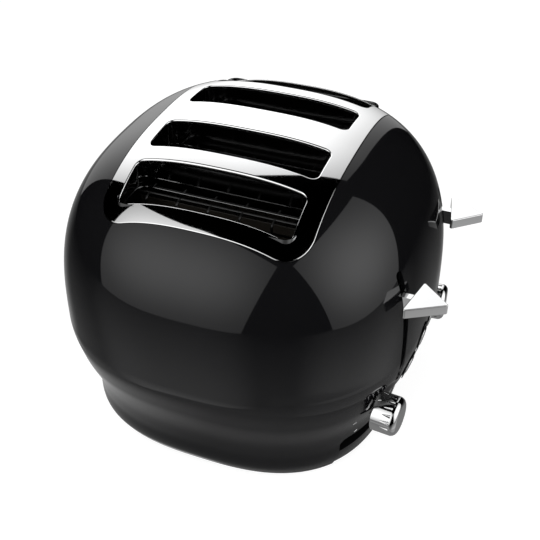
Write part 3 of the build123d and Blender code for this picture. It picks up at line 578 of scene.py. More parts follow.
# Painted shade: the mica cards are made near black for the shadow deep in the slots.
MICA = plain("mica_card", (0.022, 0.019, 0.015), 0.5)
RIBBON = steel("ribbon_alloy", 0.06, 0.35)
RUBBER = plain("black_rubber", (0.02, 0.02, 0.02), 0.7)
SATIN_BLACK = plain("satin_black_plastic", (0.012, 0.012, 0.012), 0.35, bump=0.05)
BOARD = plain("circuit_board", (0.03, 0.12, 0.05), 0.5)
COIL = steel("magnet_coil", 0.4, 0.4, tint=(1.0, 0.6, 0.35))
PRINT = plain("white_print", (0.92, 0.92, 0.92), 0.4, speckle=0.05, bump=0.02)
print("materials", len(bpy.data.materials))


# %% [markdown]
# ## Dressing a piece
# A finished piece has one material, rides on a body and hides the frame's pieces that it stands
# for.

# %% Dressing a piece


def dress(obj, material):
    """Give an object one material all over."""
    obj.data.materials.clear()
    obj.data.materials.append(material)
    return obj


def finish_piece(obj, material, body="housing", replaces=()):
    """Material, body and the frame's nodes that a new piece stands for, which are hidden."""
    dress(obj, material)
    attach(obj, body)
    if replaces:
        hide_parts(*replaces)
    return obj


# %% [markdown]
# ## The body form as a mesh
# A sphere has the right rings and segments, so the shell starts as one, and each ring is
# moved to a level section of the form. The rings are spaced evenly along the profile.


# %% Body form as a mesh


def body_solid(name, inset, segments, rings, floor_rings=6):
    """The closed body form, moved inwards by an inset."""
    heights = np.linspace(0, 1, 4001)
    crown = CROWN_RISE - inset
    angles = (1 - heights) * math.pi / 2
    arch = GIRTH_HEIGHT + crown * np.sin(angles) ** (2 / CROWN_POWER)
    profile_z = np.concatenate([arch, GIRTH_HEIGHT * (1 - heights[1:])])
    profile_x = level_section(profile_z, inset)[0]
    profile_x[0] = 0.0
    lengths = np.concatenate([[0], np.cumsum(np.hypot(np.diff(profile_z), np.diff(profile_x)))])
    bpy.ops.mesh.primitive_uv_sphere_add(segments=segments, ring_count=rings, radius=1.0)
    obj = named(name)
    places = vertex_array(obj)
    ring = np.rint(np.arccos(np.clip(places[:, 2], -1, 1)) * rings / math.pi)
    edge_ring = rings - floor_rings
    along = np.clip(ring / edge_ring, 0, 1) * lengths[-1]
    z = np.interp(along, lengths, profile_z)
    half_length, half_width, power = level_section(z, inset)
    turn = np.arctan2(places[:, 1], places[:, 0])
    reach = (np.abs(np.cos(turn)) / half_length) ** power
    reach = reach + (np.abs(np.sin(turn)) / half_width) ** power
    radius = reach ** (-1 / power)
    radius = np.where(ring == 0, 0.0, radius)
    radius = radius * np.clip((rings - ring) / floor_rings, 0, 1)
    z = np.where(ring == 0, GIRTH_HEIGHT + crown, z)
    x = BODY_X + radius * np.cos(turn)
    return remake(obj, np.stack([x, radius * np.sin(turn), FOOT_HEIGHT + z], axis=1))


# %% [markdown]
# ## Dishes behind the knobs
# The end wall leans, so it is pressed in softly behind each knob. The press fades out
# smoothly, and the same function gives the pressed points and their normals.

# %% Dishes behind the knobs


def dish(points):
    """Press the wall in behind each knob, softly, so that the knob's back clears it."""
    moved = points.copy()
    for origin, axis in knob_places.values():
        origin, axis = np.array(origin), np.array(axis)
        along = (points - origin) @ axis
        flat = points - along[:, None] * axis
        radius = np.linalg.norm(flat - origin, axis=1)
        near = (radius < DISH_OUTER) & (np.abs(along) < 25 * MM)
        flat, radius = flat[near], radius[near]
        depth, step = np.zeros(len(flat)), 0.05 * MM
        for _ in range(10):
            ahead = body_field(*(flat + (depth + step)[:, None] * axis).T)
            behind = body_field(*(flat + (depth - step)[:, None] * axis).T)
            depth -= ((ahead + behind) / 2 - 1) / ((ahead - behind) / (2 * step))
        share = np.clip((radius - DISH_INNER) / (DISH_OUTER - DISH_INNER), 0, 1)
        weight = 1 - share**3 * (10 - 15 * share + 6 * share**2)
        over = depth - DISH_DEPTH
        press = (over + np.sqrt(over**2 + (1.0 * MM) ** 2)) / 2
        moved[near] -= (weight * press)[:, None] * axis
    return moved


def dished_normals(points, normals):
    """Surface normals after the dishes have been pressed in."""
    side = np.cross(normals, [0.0, 0.0, 1.0])
    side /= np.maximum(np.linalg.norm(side, axis=1, keepdims=True), 1e-9)
    rise = np.cross(normals, side)
    step = 0.05 * MM
    across = dish(points + step * side) - dish(points - step * side)
    along = dish(points + step * rise) - dish(points - step * rise)
    turned = np.cross(across, along)
    turned /= np.maximum(np.linalg.norm(turned, axis=1, keepdims=True), 1e-30)
    turned *= np.sign((turned * normals).sum(axis=1, keepdims=True))
    return turned


# %% [markdown]
# ## Exact normals
# Faces that lie on the body get its exact normals, so that the gloss mirrors a curve.

# %% Exact normals


def true_normals(obj, tolerance=0.25 * MM, dished=False):
    """Give the faces that lie on the body's surface its exact normals."""
    mesh = obj.data
    places = vertex_array(obj)
    wanted = body_normals(places)
    field_gap = np.abs(
        np.where(
            places[:, 2] > FOOT_HEIGHT + GIRTH_HEIGHT,
            crown_field(*places.T),
            body_field(*places.T),
        )
        - 1
    )
    on_surface = field_gap < tolerance / (60 * MM)
    facings = [face.normal.copy() for face in mesh.polygons]
    smooth_normals = wanted
    if dished:
        smooth_normals = dished_normals(places, wanted)
        remake(obj, dish(places))
    normals = [(0.0, 0.0, 0.0)] * len(mesh.loops)
    for face, facing_before in zip(mesh.polygons, facings):
        loops = list(face.loop_indices)
        corners = [mesh.loops[i].vertex_index for i in loops]
        if not all(on_surface[v] for v in corners):
            continue
        if sum(wanted[v] @ facing_before for v in corners) / len(corners) < 0.8:
            continue
        for i, v in zip(loops, corners):
            normals[i] = tuple(smooth_normals[v])
    mesh.normals_split_custom_set(normals)
    return obj


# %% [markdown]
# ## Sizes of the openings
# Sizes of the knobs and of what the shell is opened for.

# %% Sizes of the openings
KNOB_RADIUS = 15.9 * MM
KNOB_LENGTH = 20.4 * MM
KNOB_GAP = 2.0 * MM
DISH_DEPTH = KNOB_GAP - 0.7 * MM
DISH_INNER = 16.5 * MM
DISH_OUTER = 30.0 * MM
LEVER_SLOT_WIDTH = 7.2 * MM
LEVER_SLOT_BOTTOM = 75.6 * MM
LEVER_SLOT_TOP = 181.0 * MM
BAY_WIDTH = 192.0 * MM
BAY_TOP = 32.0 * MM
BAY_CORNER = 6.0 * MM
BAY_BACK = BODY_X + 89.0 * MM
BUTTON_HOLE = 10.7 * MM
GLAND_HOLE = 6.0 * MM
GLAND_HEIGHT = 24.0 * MM
FAR = 400 * MM
SHAFT_HOLE = 5.1 * MM
BUTTON_CUT = 14 * MM
SHELL_REFINE_CUTS = 3
PLATE_CUT = (150 * MM, 300 * MM)
print("openings: bay", BAY_WIDTH, "lever slot", LEVER_SLOT_TOP - LEVER_SLOT_BOTTOM)

# %% [markdown]
# ## Cutters
# Two small functions draw a slot with round ends and stand an outline up on the end.

# %% Cutters


def stadium(length, width):
    """Outline of a slot with round ends, its length along Y."""
    straight = (length - width) / 2
    top = arc((0, straight), width / 2, 0, 180, 12)
    bottom = arc((0, -straight), width / 2, 180, 360, 12)
    return top + bottom


def end_matrix(y, z):
    """Turns an outline's plane to face along +X, its local Y upright."""
    return Matrix.Translation((0, y, z)) @ Matrix(((0, 0, 1), (1, 0, 0), (0, 1, 0))).to_4x4()


# %% [markdown]
# ## Body shell
# The form is refined round the knobs, hollowed by a smaller copy of itself, and opened for
# the crown plate, which lies on a ledge.

# %% Body shell


def select_round_knobs(obj, radius):
    """Select the faces of the control end that lie near the axis of a knob."""
    mesh = bmesh.from_edit_mesh(obj.data)
    for face in mesh.faces:
        middle = face.calc_center_median()
        offsets = [middle - origin for origin, axis in knob_places.values()]
        face.select = middle.x > BODY_X and min(offset.length for offset in offsets) < radius
    bmesh.update_edit_mesh(obj.data)


knob_places = {}
for half in ("front", "rear"):
    joint = joints[f"knob_turn_{half}"]
    knob_places[half] = (Vector(joint["pos_m"]), Vector(joint["axis"]).normalized())
shell = body_solid("shell_skin", 0.0, 288, 150)
in_edit(shell, lambda: select_round_knobs(shell, DISH_OUTER + 2 * MM),
        lambda: bpy.ops.mesh.subdivide(number_cuts=SHELL_REFINE_CUTS))
cut(shell, body_solid("hollow", SHELL_WALL, 96, 60))
plan = rounded_outline(
    PLATE_LENGTH + 2 * PLATE_SEAM, PLATE_WIDTH + 2 * PLATE_SEAM, PLATE_CORNER + PLATE_SEAM
)[:, :2]
window = prism("window", plan + [BODY_X, 0], *PLATE_CUT)
cut(window, body_solid("ledge", PLATE_THICKNESS + 0.3 * MM, 128, 90))
cut(shell, window)
inner_plan = rounded_outline(
    PLATE_LENGTH - 8 * MM, PLATE_WIDTH - 8 * MM, PLATE_CORNER - 4 * MM
)[:, :2]
cut(shell, prism("hole", inner_plan + [BODY_X, 0], *PLATE_CUT))
print("hollow shell faces", len(shell.data.polygons))

# %% [markdown]
# ## Lever slots and shaft holes
# Two upright slots let the lever stems through, and a hole in each dish takes a shaft.

# %% Lever slots and shaft holes
lever_rows = [
    sum(corner.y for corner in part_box(f"lever_stem_{half}")) / 2 for half in ("front", "rear")
]
for y in lever_rows:
    height = LEVER_SLOT_TOP - LEVER_SLOT_BOTTOM
    slot = prism("slot", stadium(height, LEVER_SLOT_WIDTH), BODY_X + 100 * MM, FAR,
                 end_matrix(y, LEVER_SLOT_BOTTOM + height / 2))
    cut(shell, slot)
for half in ("front", "rear"):
    origin, axis = knob_places[half]
    hole = arc((0, 0), SHAFT_HOLE, 0, 360, 32)[:-1]
    cut(shell, prism("shaft_hole", hole, -6 * MM, KNOB_LENGTH, facing(axis, origin)))
print("lever rows", [round(y, 4) for y in lever_rows])

# %% [markdown]
# ## Button holes
# The buttons stand square to the wall, so each hole is cut along its own button.

# %% Button holes
button_places = {}
for name in ("front_outer", "front_inner", "rear_inner", "rear_outer"):
    joint = joints[f"button_press_{name}"]
    away = -Vector(joint["axis"]).normalized()
    low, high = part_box(f"push_button_{name}")
    middle = (low + high) / 2
    point, normal = wall_place(middle.y, middle.z)
    for _ in range(6):
        drop = middle - point
        drop -= drop.dot(normal) * normal
        point, normal = wall_place(point.y + drop.y, point.z + drop.z)
    button_places[name] = (point, away)
    ring = arc((0, 0), BUTTON_HOLE, 0, 360, 64)[:-1]
    cut(shell, prism("button_hole", ring, -BUTTON_CUT, BUTTON_CUT, facing(away, point)))
print("button holes", len(button_places))

# %% [markdown]
# ## Tray bay and gland
# The bay for the crumb tray opens the foot of the control end, and the gland the far end.
# Then the shell gets its normals and its finish.

# %% Tray bay and gland
bay = rounded_outline(2 * BAY_TOP, BAY_WIDTH, BAY_CORNER)[:, :2]
bay_matrix = Matrix(((0, 0, 1), (0, 1, 0), (-1, 0, 0))).to_4x4()
cut(shell, prism("bay", bay, BAY_BACK, FAR, bay_matrix))
hole = arc((0, 0), GLAND_HOLE, 0, 360, 48)[:-1]
cut(shell, prism("gland_hole", hole, -FAR, BODY_X - 100 * MM, end_matrix(0, GLAND_HEIGHT)))
print("shell faces", len(shell.data.polygons))
smooth(shell, 40)
true_normals(shell, dished=True)
finish_piece(shell, GLOSS_BLACK, replaces=["outer_shell"])

# %% [markdown]
# ## Crown plate
# The plate is one chromed pressing that follows the crown, with four slots punched in it
# and their edges rolled over. It is made flat, punched, and its edges are rounded. Then
# it is sliced into a fine grid and draped, so that it bends exactly as the body does.

# %% Punched plate
COLLAR_DEPTH = 3.5 * MM
COLLAR_WALL = 1.0 * MM
RIM_LIMIT = 108.0 * MM
plate = prism("crown_plate", rounded_outline(PLATE_LENGTH, PLATE_WIDTH, PLATE_CORNER)[:, :2],
              0, PLATE_THICKNESS)
for y in slot_rows:
    turned = rounded_outline(
        SLOT_LENGTH + 2 * COLLAR_WALL, SLOT_WIDTH + 2 * COLLAR_WALL, SLOT_CORNER + COLLAR_WALL
    )[:, :2] + [0, y]
    cut(plate, prism("collar", turned, PLATE_THICKNESS - COLLAR_DEPTH, 0.1 * MM), "UNION")
    outline = rounded_outline(SLOT_LENGTH, SLOT_WIDTH, SLOT_CORNER)[:, :2] + [0, y]
    cut(plate, prism("punch", outline, -5 * MM, 5 * MM))


print("punched plate faces", len(plate.data.polygons))

# %% [markdown]
# ## Rims and draping
# Edges are picked by their level and rounded, and the slab is sliced fine so that it
# bends.

# %% Rims and draping


def select_rim(obj, level, flat, outer=None):
    """Select the edges at one height that border a face turned sideways.

    With outer given, take only the outer outline, or only the openings."""
    mesh = bmesh.from_edit_mesh(obj.data)
    for edge in mesh.edges:
        on_level = all(abs(vertex.co.z - level) < 1e-6 for vertex in edge.verts)
        turned = any(abs(face.normal.z) < flat for face in edge.link_faces)
        middle = (edge.verts[0].co + edge.verts[1].co) / 2
        far_out = abs(middle.x) > SLOT_LENGTH / 2 + 4 * MM or abs(middle.y) > RIM_LIMIT
        edge.select = on_level and turned and (outer is None or outer == far_out)
    mesh.select_flush_mode()
    bmesh.update_edit_mesh(obj.data)


def round_rim(obj, level, width, segments, outer=None):
    """Round over the outlines of a slab at one of its levels."""
    only(obj)
    bpy.ops.object.mode_set(mode="EDIT")
    bpy.ops.mesh.select_mode(type="EDGE")
    bpy.ops.mesh.select_all(action="DESELECT")
    select_rim(obj, level, 0.5, outer)
    bpy.ops.mesh.bevel(offset=width, offset_type="OFFSET", segments=segments, profile=0.5)
    bpy.ops.object.mode_set(mode="OBJECT")


def slice_grid(obj, step, half_length, half_width):
    """Slice a slab into a grid of narrow strips both ways."""
    only(obj)
    bpy.ops.object.mode_set(mode="EDIT")
    for axis, reach in ((0, half_length), (1, half_width)):
        count = int(2 * reach / step)
        for i in range(1, count):
            place = [0.0, 0.0, 0.0]
            place[axis] = -reach + 2 * reach * i / count
            normal = [0.0, 0.0, 0.0]
            normal[axis] = 1.0
            bpy.ops.mesh.select_all(action="SELECT")
            bpy.ops.mesh.bisect(plane_co=place, plane_no=normal, threshold=1e-6)
    bpy.ops.object.mode_set(mode="OBJECT")


def drape(obj, thickness):
    """Lay a slab on the crown, its upper face flush with the crown's surface."""
    places = vertex_array(obj)
    places[:, 0] += BODY_X
    depth = thickness - places[:, 2]
    places[:, 2] = crown_height(places[:, 0], places[:, 1]) - depth
    return remake(obj, places)


# %% [markdown]
# ## Draped crown plate
# The rims are rounded first, while the plate is flat.

# %% Draped crown plate
round_rim(plate, PLATE_THICKNESS, 0.3 * MM, 2, outer=True)
round_rim(plate, PLATE_THICKNESS, 1.2 * MM, 6, outer=False)
round_rim(plate, PLATE_THICKNESS - COLLAR_DEPTH, 0.3 * MM, 2)
slice_grid(plate, 3.6 * MM, PLATE_LENGTH / 2, PLATE_WIDTH / 2)
drape(plate, PLATE_THICKNESS)
smooth(plate, 50)
true_normals(plate, 0.02 * MM)
finish_piece(plate, CHROME, replaces=["top_plate"])
print("crown plate faces", len(plate.data.polygons))

# %% [markdown]
# ## Slot liners
# Each slot has a thin polished liner below the plate's collar. A torus already has the
# right rings, so each liner starts as one: its rings go to the points round the slot, and
# the points of each ring go to the liner's section, with a joggle and a rolled lower edge.

# %% Slot liners
LINER_BOTTOM = 211.0 * MM
LINER_JOGGLE = 221.0 * MM
LINER_SHEET = 0.8 * MM


def swept_ring(name, outline, section):
    """Carry a closed section, given as (inward, height) points, round an outline."""
    bpy.ops.mesh.primitive_torus_add(major_segments=len(outline), minor_segments=section.shape[1])
    ring = named(name)
    around = np.repeat(outline, section.shape[1], axis=0)
    inward, height = (np.tile(values, len(outline)) for values in section)
    places = np.empty((len(around), 3))
    places[:, :2] = around[:, :2] - around[:, 2:] * inward[:, None]
    places[:, 2] = height
    remake(ring, places)
    in_edit(ring, lambda: bpy.ops.mesh.normals_make_consistent(inside=False))
    return settle(ring)


def liner_section():
    """Section of a liner from its lower roll up, as (inward, height), closed."""
    roll = arc((0.55 * MM, LINER_BOTTOM + 0.45 * MM), 0.45 * MM, 90, 430, 10)
    inside = [
        (LINER_SHEET + 0.3 * MM, LINER_BOTTOM + 1.8 * MM),
        (LINER_SHEET + 0.3 * MM, LINER_JOGGLE - 0.7 * MM),
        (LINER_SHEET + 0.25 * MM, LINER_JOGGLE - 0.4 * MM),
        (LINER_SHEET + 0.05 * MM, LINER_JOGGLE),
        (LINER_SHEET, LINER_JOGGLE + 0.3 * MM),
        (LINER_SHEET, 0.0),
    ]
    outside = [(0.0, 0.0), (0.0, LINER_JOGGLE + 0.3 * MM), (0.2 * MM, LINER_JOGGLE - 0.6 * MM)]
    outside += [(0.2 * MM, LINER_BOTTOM + 1.8 * MM)]
    return np.array(roll + inside + outside).T


for number, y in enumerate(slot_rows, start=1):
    low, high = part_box(f"slot_liner_{number}")
    ring = rounded_outline(high.x - low.x, high.y - low.y, SLOT_CORNER + 2.3 * MM, per_corner=10)
    liner = swept_ring(f"slot_liner_skin_{number}", ring, liner_section())
    places = vertex_array(liner)
    places[:, 0] += (low.x + high.x) / 2
    places[:, 1] += y
    top = places[:, 2] == 0
    places[top, 2] = crown_height(places[top, 0], places[top, 1]) - 1.45 * MM
    remake(liner, places)
    smooth(liner, 50)
    finish_piece(liner, LINER_STEEL, replaces=[f"slot_liner_{number}"])
    print(liner.name, len(liner.data.polygons))

# %% [markdown]
# ## Lever handles
# Each handle is a flat three-cornered paddle whose long side follows the wall. Its edges
# are rounded all round, because a sharp edge would catch no light.

# %% Lever handles
PADDLE_BASE = 36.0 * MM
PADDLE_REACH = 25.9 * MM
PADDLE_THICKNESS = 8.3 * MM
PADDLE_TURN = math.radians(10.8)
PADDLE_CORNER = 1.5 * MM
for half, side in (("front", -1), ("rear", 1)):
    low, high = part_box(f"lever_handle_{half}")
    stem_low, stem_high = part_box(f"lever_stem_{half}")
    middle_y = (stem_low.y + stem_high.y) / 2
    base_x = BODY_X + 145.5 * MM
    along = Vector((-math.sin(PADDLE_TURN), side * math.cos(PADDLE_TURN))) * (PADDLE_BASE / 2)
    corners = [
        Vector((base_x - 1.5 * MM, middle_y + side * 2.3 * MM)) + along,
        Vector((base_x + PADDLE_REACH, middle_y + side * 1.8 * MM)),
        Vector((base_x - 0.6 * MM, middle_y - side * 0.4 * MM)) - along,
    ]
    centre = sum(corners, Vector((0, 0))) / 3
    if (corners[1] - corners[0]).cross(corners[2] - corners[1]) < 0:
        corners.reverse()
    outline = []
    for i, corner in enumerate(corners):
        before = (corners[i - 1] - corner).normalized()
        after = (corners[(i + 1) % 3] - corner).normalized()
        half_angle = before.angle(after) / 2
        pivot = corner + (before + after).normalized() * PADDLE_CORNER / math.sin(half_angle)
        start = math.atan2(before.x, -before.y)
        turn = math.pi - 2 * half_angle
        for k in range(9):
            angle = start + turn * k / 8
            reach = Vector((math.cos(angle), math.sin(angle))) * PADDLE_CORNER
            outline.append(tuple(pivot + reach))
    paddle = prism(f"paddle_{half}", outline, high.z - PADDLE_THICKNESS, high.z)
    for level in (high.z, high.z - PADDLE_THICKNESS):
        round_rim(paddle, level, 0.8 * MM, 4)
    smooth(paddle, 30)
    modify(paddle, "WEIGHTED_NORMAL", keep_sharp=True)
    node = f"lever_handle_{half}"
    finish_piece(paddle, HANDLE_METAL, f"carriage_{half}", [node])
    print(paddle.name, [round(v, 4) for v in paddle.dimensions])

# %% [markdown]
# ## Browning knobs
# Each knob is a turned metal cap. It is spun from its outline, and then its rim gets the
# shallow tapered flutes that give fingers a hold.

# %% Browning knobs
KNOB_RIM = 5.2 * MM
KNOB_FLUTES = 18
FLUTE_DEPTH = 0.8 * MM
FLUTE_START = 0.36
FLUTE_END = (KNOB_LENGTH - KNOB_RIM) / KNOB_LENGTH - 0.01


def flute_depth(turn, share):
    """Depth of the pointed flutes at an angle round the knob and a share of its length."""
    grow = np.clip((share - FLUTE_START) / (FLUTE_END - FLUTE_START), 0, 1)
    grow = np.where(share > FLUTE_END + 0.002, 0.0, grow)
    phase = np.abs((turn * KNOB_FLUTES / (2 * math.pi)) % 1 - 0.5) * 2
    across = np.clip((1 - phase) / (0.5 * np.maximum(grow, 1e-6)), 0, 1)
    return FLUTE_DEPTH * grow * (1 - across**2)


for half in ("front", "rear"):
    origin, axis = knob_places[half]
    top = KNOB_GAP + KNOB_LENGTH
    flute_end = KNOB_GAP + KNOB_LENGTH * FLUTE_END
    side_steps = [(KNOB_RADIUS, KNOB_GAP + 0.6 * MM + k * 0.5 * MM) for k in range(28)]
    side_steps = [point for point in side_steps if point[1] < flute_end - 0.2 * MM]
    side_steps += [(KNOB_RADIUS, flute_end), (KNOB_RADIUS, flute_end + 0.12 * MM)]
    profile = [(KNOB_RADIUS - 1.6 * MM, KNOB_GAP + 6 * MM), (KNOB_RADIUS - 1.6 * MM, KNOB_GAP)]
    profile += [(KNOB_RADIUS - 0.5 * MM, KNOB_GAP)]
    profile += [(KNOB_RADIUS - 0.15 * MM, KNOB_GAP + 0.15 * MM)]
    profile += side_steps
    profile += arc((KNOB_RADIUS - KNOB_RIM, top - KNOB_RIM), KNOB_RIM, 0, 90, 16)
    face = KNOB_RADIUS - KNOB_RIM
    profile += [(face * (1 - k / 8), top) for k in range(1, 8)] + [(0.0, top)]
    knob = lathe(f"knob_cap_{half}", profile, Matrix.Identity(4), steps=360)
    places = vertex_array(knob)
    radius = np.hypot(places[:, 0], places[:, 1])
    turn = np.arctan2(places[:, 1], places[:, 0])
    share = (places[:, 2] - KNOB_GAP) / KNOB_LENGTH
    depth = np.where(radius > KNOB_RADIUS - 0.2 * MM, flute_depth(turn, share), 0)
    keep = (radius - depth) / np.maximum(radius, 1e-9)
    places[:, 0] *= keep
    places[:, 1] *= keep
    remake(knob, places)
    settle(knob, facing(axis, origin))
    smooth(knob, 28)
    finish_piece(knob, CHROME, f"knob_{half}", [f"browning_knob_{half}"])
    print(knob.name, len(knob.data.polygons))

# %% [markdown]
# ## Push buttons
# The buttons are small chromed caps with a soft edge and a slightly domed face, each in a
# black ring.

# %% Push buttons
BUTTON_RADIUS = 8.5 * MM
BUTTON_PROUD = 1.6 * MM
BUTTON_EDGE = 1.4 * MM
BUTTON_DOME = 0.4 * MM
for name, (point, away) in button_places.items():
    profile = [(0.0, -8 * MM), (BUTTON_RADIUS - 0.3 * MM, -8 * MM), (BUTTON_RADIUS, -7.7 * MM)]
    pivot = (BUTTON_RADIUS - BUTTON_EDGE, BUTTON_PROUD - BUTTON_EDGE - BUTTON_DOME)
    profile += arc(pivot, BUTTON_EDGE, 0, 78, 8)
    for share in (0.7, 0.5, 0.3, 0.15):
        profile.append((BUTTON_RADIUS * share, BUTTON_PROUD - BUTTON_DOME * share**2))
    profile += [(0.0, BUTTON_PROUD)]
    button = lathe(f"button_{name}", profile, facing(away, point), steps=72)
    smooth(button, 40)
    finish_piece(button, CHROME, f"button_{name}", [f"push_button_{name}"])
    print(button.name, [round(v, 4) for v in button.dimensions])

# %% [markdown]
# ## Printed marks
# A ring of short pale dashes is printed round each knob. Each is a small patch that lies
# on the body's own surface, a hair above it.

# %% Printed marks
MARK_LENGTH = 2.8 * MM
MARK_WIDTH = 1.2 * MM
MARK_SLANT = math.radians(40)
MARKS = [(-151, 21.2), (-99, 17.9), (-46, 23.0), (-7, 22.3), (46, 22.0), (98, 21.0), (150, 21.0)]


def surface_point(y, z, lift):
    """A point a little above the wall at the control end."""
    point, normal = wall_place(y, z)
    return point + normal * lift


for half in ("front", "rear"):
    origin = knob_places[half][0]
    verts, faces = [], []
    for degrees, radius in MARKS:
        angle = math.radians(90 - degrees)
        for a, b in ((-1, -1), (1, -1), (1, 1), (-1, 1)):
            along, across = a * MARK_LENGTH / 2, b * MARK_WIDTH / 2
            y = origin.y + radius * MM * math.cos(angle)
            z = origin.z + radius * MM * math.sin(angle)
            y += along * math.cos(MARK_SLANT) - across * math.sin(MARK_SLANT)
            z += along * math.sin(MARK_SLANT) + across * math.cos(MARK_SLANT)
            verts.append(surface_point(y, z, 0.06 * MM))
        faces.append(tuple(range(len(verts) - 4, len(verts))))
    verts = dish(np.array([tuple(v) for v in verts])).tolist()
    marks = from_points(f"dial_marks_{half}", verts, [], faces)
    in_edit(marks, lambda: bpy.ops.mesh.normals_make_consistent(inside=False))
    for face in marks.data.polygons:
        if face.normal.x < 0:
            face.flip()
    finish_piece(marks, PRINT)
    print(marks.name, len(faces))

# %% [markdown]
# ## Finishes for the frame's own pieces
# Pieces that keep the frame's shape only need a finish. The longest start of a name that
# matches decides, so the crumb tray's front is black although its tray is steel.

# %% Finishes for the frame's own pieces
NODE_FINISHES = {
    "crumb_tray_front": GLOSS_BLACK,
    "side_reflector": SLOT_SHADE_STEEL,
    "chamber_end": SLOT_SHADE_STEEL,
    "base_pan": PAN_STEEL,
    "centre_divider": SLOT_SHADE_STEEL,
    "lift_frame": PAN_STEEL,
    "crumb_tray": PAN_STEEL,
    "bread_guard": GUARD_STEEL,
    "bread_rack": RACK_STEEL,
    "lift_bracket": RACK_STEEL,
    "latch_armature": RACK_STEEL,
    "lever_stem": CHROME,
    "rubber_feet": RUBBER,
    "cord_gland": RUBBER,
    "base_screws": SHAFT_STEEL,
    "heater_card": MICA,
    "heater_ribbons": RIBBON,
    "knob_shaft": SHAFT_STEEL,
    "guide_rods": SHAFT_STEEL,
    "return_spring": SHAFT_STEEL,
    "latch_magnets": COIL,
    "timer_boards": BOARD,
    "timer_dials": SATIN_BLACK,
    "button_switches": SATIN_BLACK,
    "button_bezels": SATIN_BLACK,
}
for name, obj in nodes.items():
    starts = [start for start in NODE_FINISHES if name.startswith(start)]
    for slot in obj.material_slots if starts else []:
        slot.material = NODE_FINISHES[max(starts, key=len)]
print("finishes for", len(NODE_FINISHES), "kinds of piece")

# %% [markdown]
# ## Studio
# A gloss body shows its studio more than its own colour. Three equal soft boxes stand
# round it, each leaning over the set, with darkness above and a dim floor below. They are
# far away and only mirrors see them, so the lamps that light matt surfaces stay gentle.

# %% Soft boxes
BOX_HALF_WIDTH = 10.0
BOX_EDGE_GLOW = 0.257
BOX_LOW = (1.746, -0.497)
BOX_HIGH = (0.763, 1.222)


def light_material(name):
    """A material with an empty output, for things that only shine."""
    material = bpy.data.materials.new(name)
    material.use_nodes = True
    tree = material.node_tree
    tree.nodes.remove(tree.nodes["Principled BSDF"])
    return material, tree, tree.nodes["Material Output"].inputs["Surface"]


def mirrors_only(obj):
    """Let only reflections see a part of the set."""
    for ray in ("camera", "diffuse", "shadow", "transmission", "volume_scatter"):
        setattr(obj, f"visible_{ray}", False)
    return obj


def shine(obj, material, surface, strength):
    """Let a part of the set shine, seen by mirrors alone."""
    light = strength.node("ShaderNodeEmission", None, {"Strength": strength})
    strength.tree.links.new(light.socket, surface)
    dress(obj, material)
    return mirrors_only(obj)


def soft_box(name, azimuth, power):
    """A leaning soft box in a compass direction, brightest a little above its middle."""
    bpy.ops.mesh.primitive_plane_add(size=2)
    obj = named(name)
    in_edit(obj, lambda: bpy.ops.mesh.subdivide(number_cuts=7))
    angle = math.radians(azimuth)
    forward = np.array([math.sin(angle), -math.cos(angle), 0.0])
    across = np.array([math.cos(angle), math.sin(angle), 0.0])
    flat = vertex_array(obj)
    share = (flat[:, 1:2] + 1) / 2
    reach = BOX_LOW[0] + (BOX_HIGH[0] - BOX_LOW[0]) * share
    rise = BOX_LOW[1] + (BOX_HIGH[1] - BOX_LOW[1]) * share
    remake(obj, BOX_HALF_WIDTH * (flat[:, :1] * across + reach * forward + rise * [0, 0, 1]))
    material, tree, surface = light_material(name)
    place = Wire(tree, tree.nodes.new("ShaderNodeTexCoord").outputs["UV"])
    away = place.node("ShaderNodeVectorMath", {"operation": "DISTANCE"},
                      {0: place, 1: (0.5, 0.57, 0.0)}, output=1)
    fall = away * (2 / 0.77)
    glow = place.combine("POWER", math.e, 0.0 - fall * fall)
    return shine(obj, material, surface, power * (BOX_EDGE_GLOW + (1 - BOX_EDGE_GLOW) * glow))


for name, azimuth, power in (("left_soft_box", -29.5, 1.54), ("right_soft_box", 90.1, 1.79),
                             ("back_soft_box", 209.8, 1.72)):
    print(soft_box(name, azimuth, power).name)

# %% [markdown]
# ## Dark room
# A dome that only mirrors see is dark above and dimly lit towards the floor.

# %% Dark room
DOME_RADIUS = 30.0
BORDER_WIDTH = 60 * MM


def dark_room():
    """A dome seen by reflections alone: dark, and dimly lit towards the floor."""
    bpy.ops.mesh.primitive_uv_sphere_add(segments=64, ring_count=32, radius=DOME_RADIUS)
    dome = named("dark_room")
    in_edit(dome, lambda: bpy.ops.mesh.flip_normals())
    material, tree, surface = light_material("dark_room")
    place = Wire(tree, tree.nodes.new("ShaderNodeTexCoord").outputs["Object"])
    x, y, z = place.split()
    azimuth = x.combine("ARCTAN2", x, 0.0 - y) * (180 / math.pi)
    height = z.combine("ARCSINE", z * (1 / DOME_RADIUS)) * (180 / math.pi)

    def towards(az, wide):
        turn = (azimuth - az) * (1 / wide)
        return 1 - (turn * turn).between(0.0, 1.0)

    left, right = towards(-32, 42), towards(85, 55)
    back = towards(-150, 45) + towards(210, 45)
    sunk = (height * -1 - 13).combine("MAXIMUM", height * -1 - 13, 0.0) * (1 / 32)
    upper = sunk * 0.17 + left * (0.12 + 0.12 * sunk) + (right + back) * (0.14 + 0.18 * sunk)
    lower = 0.2 + 0.1 * right
    edge = 0.0 - 44 - 14 * towards(-40, 60) - 16 * back
    far_floor = (height - edge).between(-0.8, 0.8)
    light = far_floor * upper * (1 - height.between(-14.5, -13)) + (1 - far_floor) * lower
    return shine(dome, material, surface, light)


print(dark_room().name)


# %% [markdown]
# ## Near floor
# The lower body mirrors the floor beside it, which a pale border stands for.

# %% Near floor


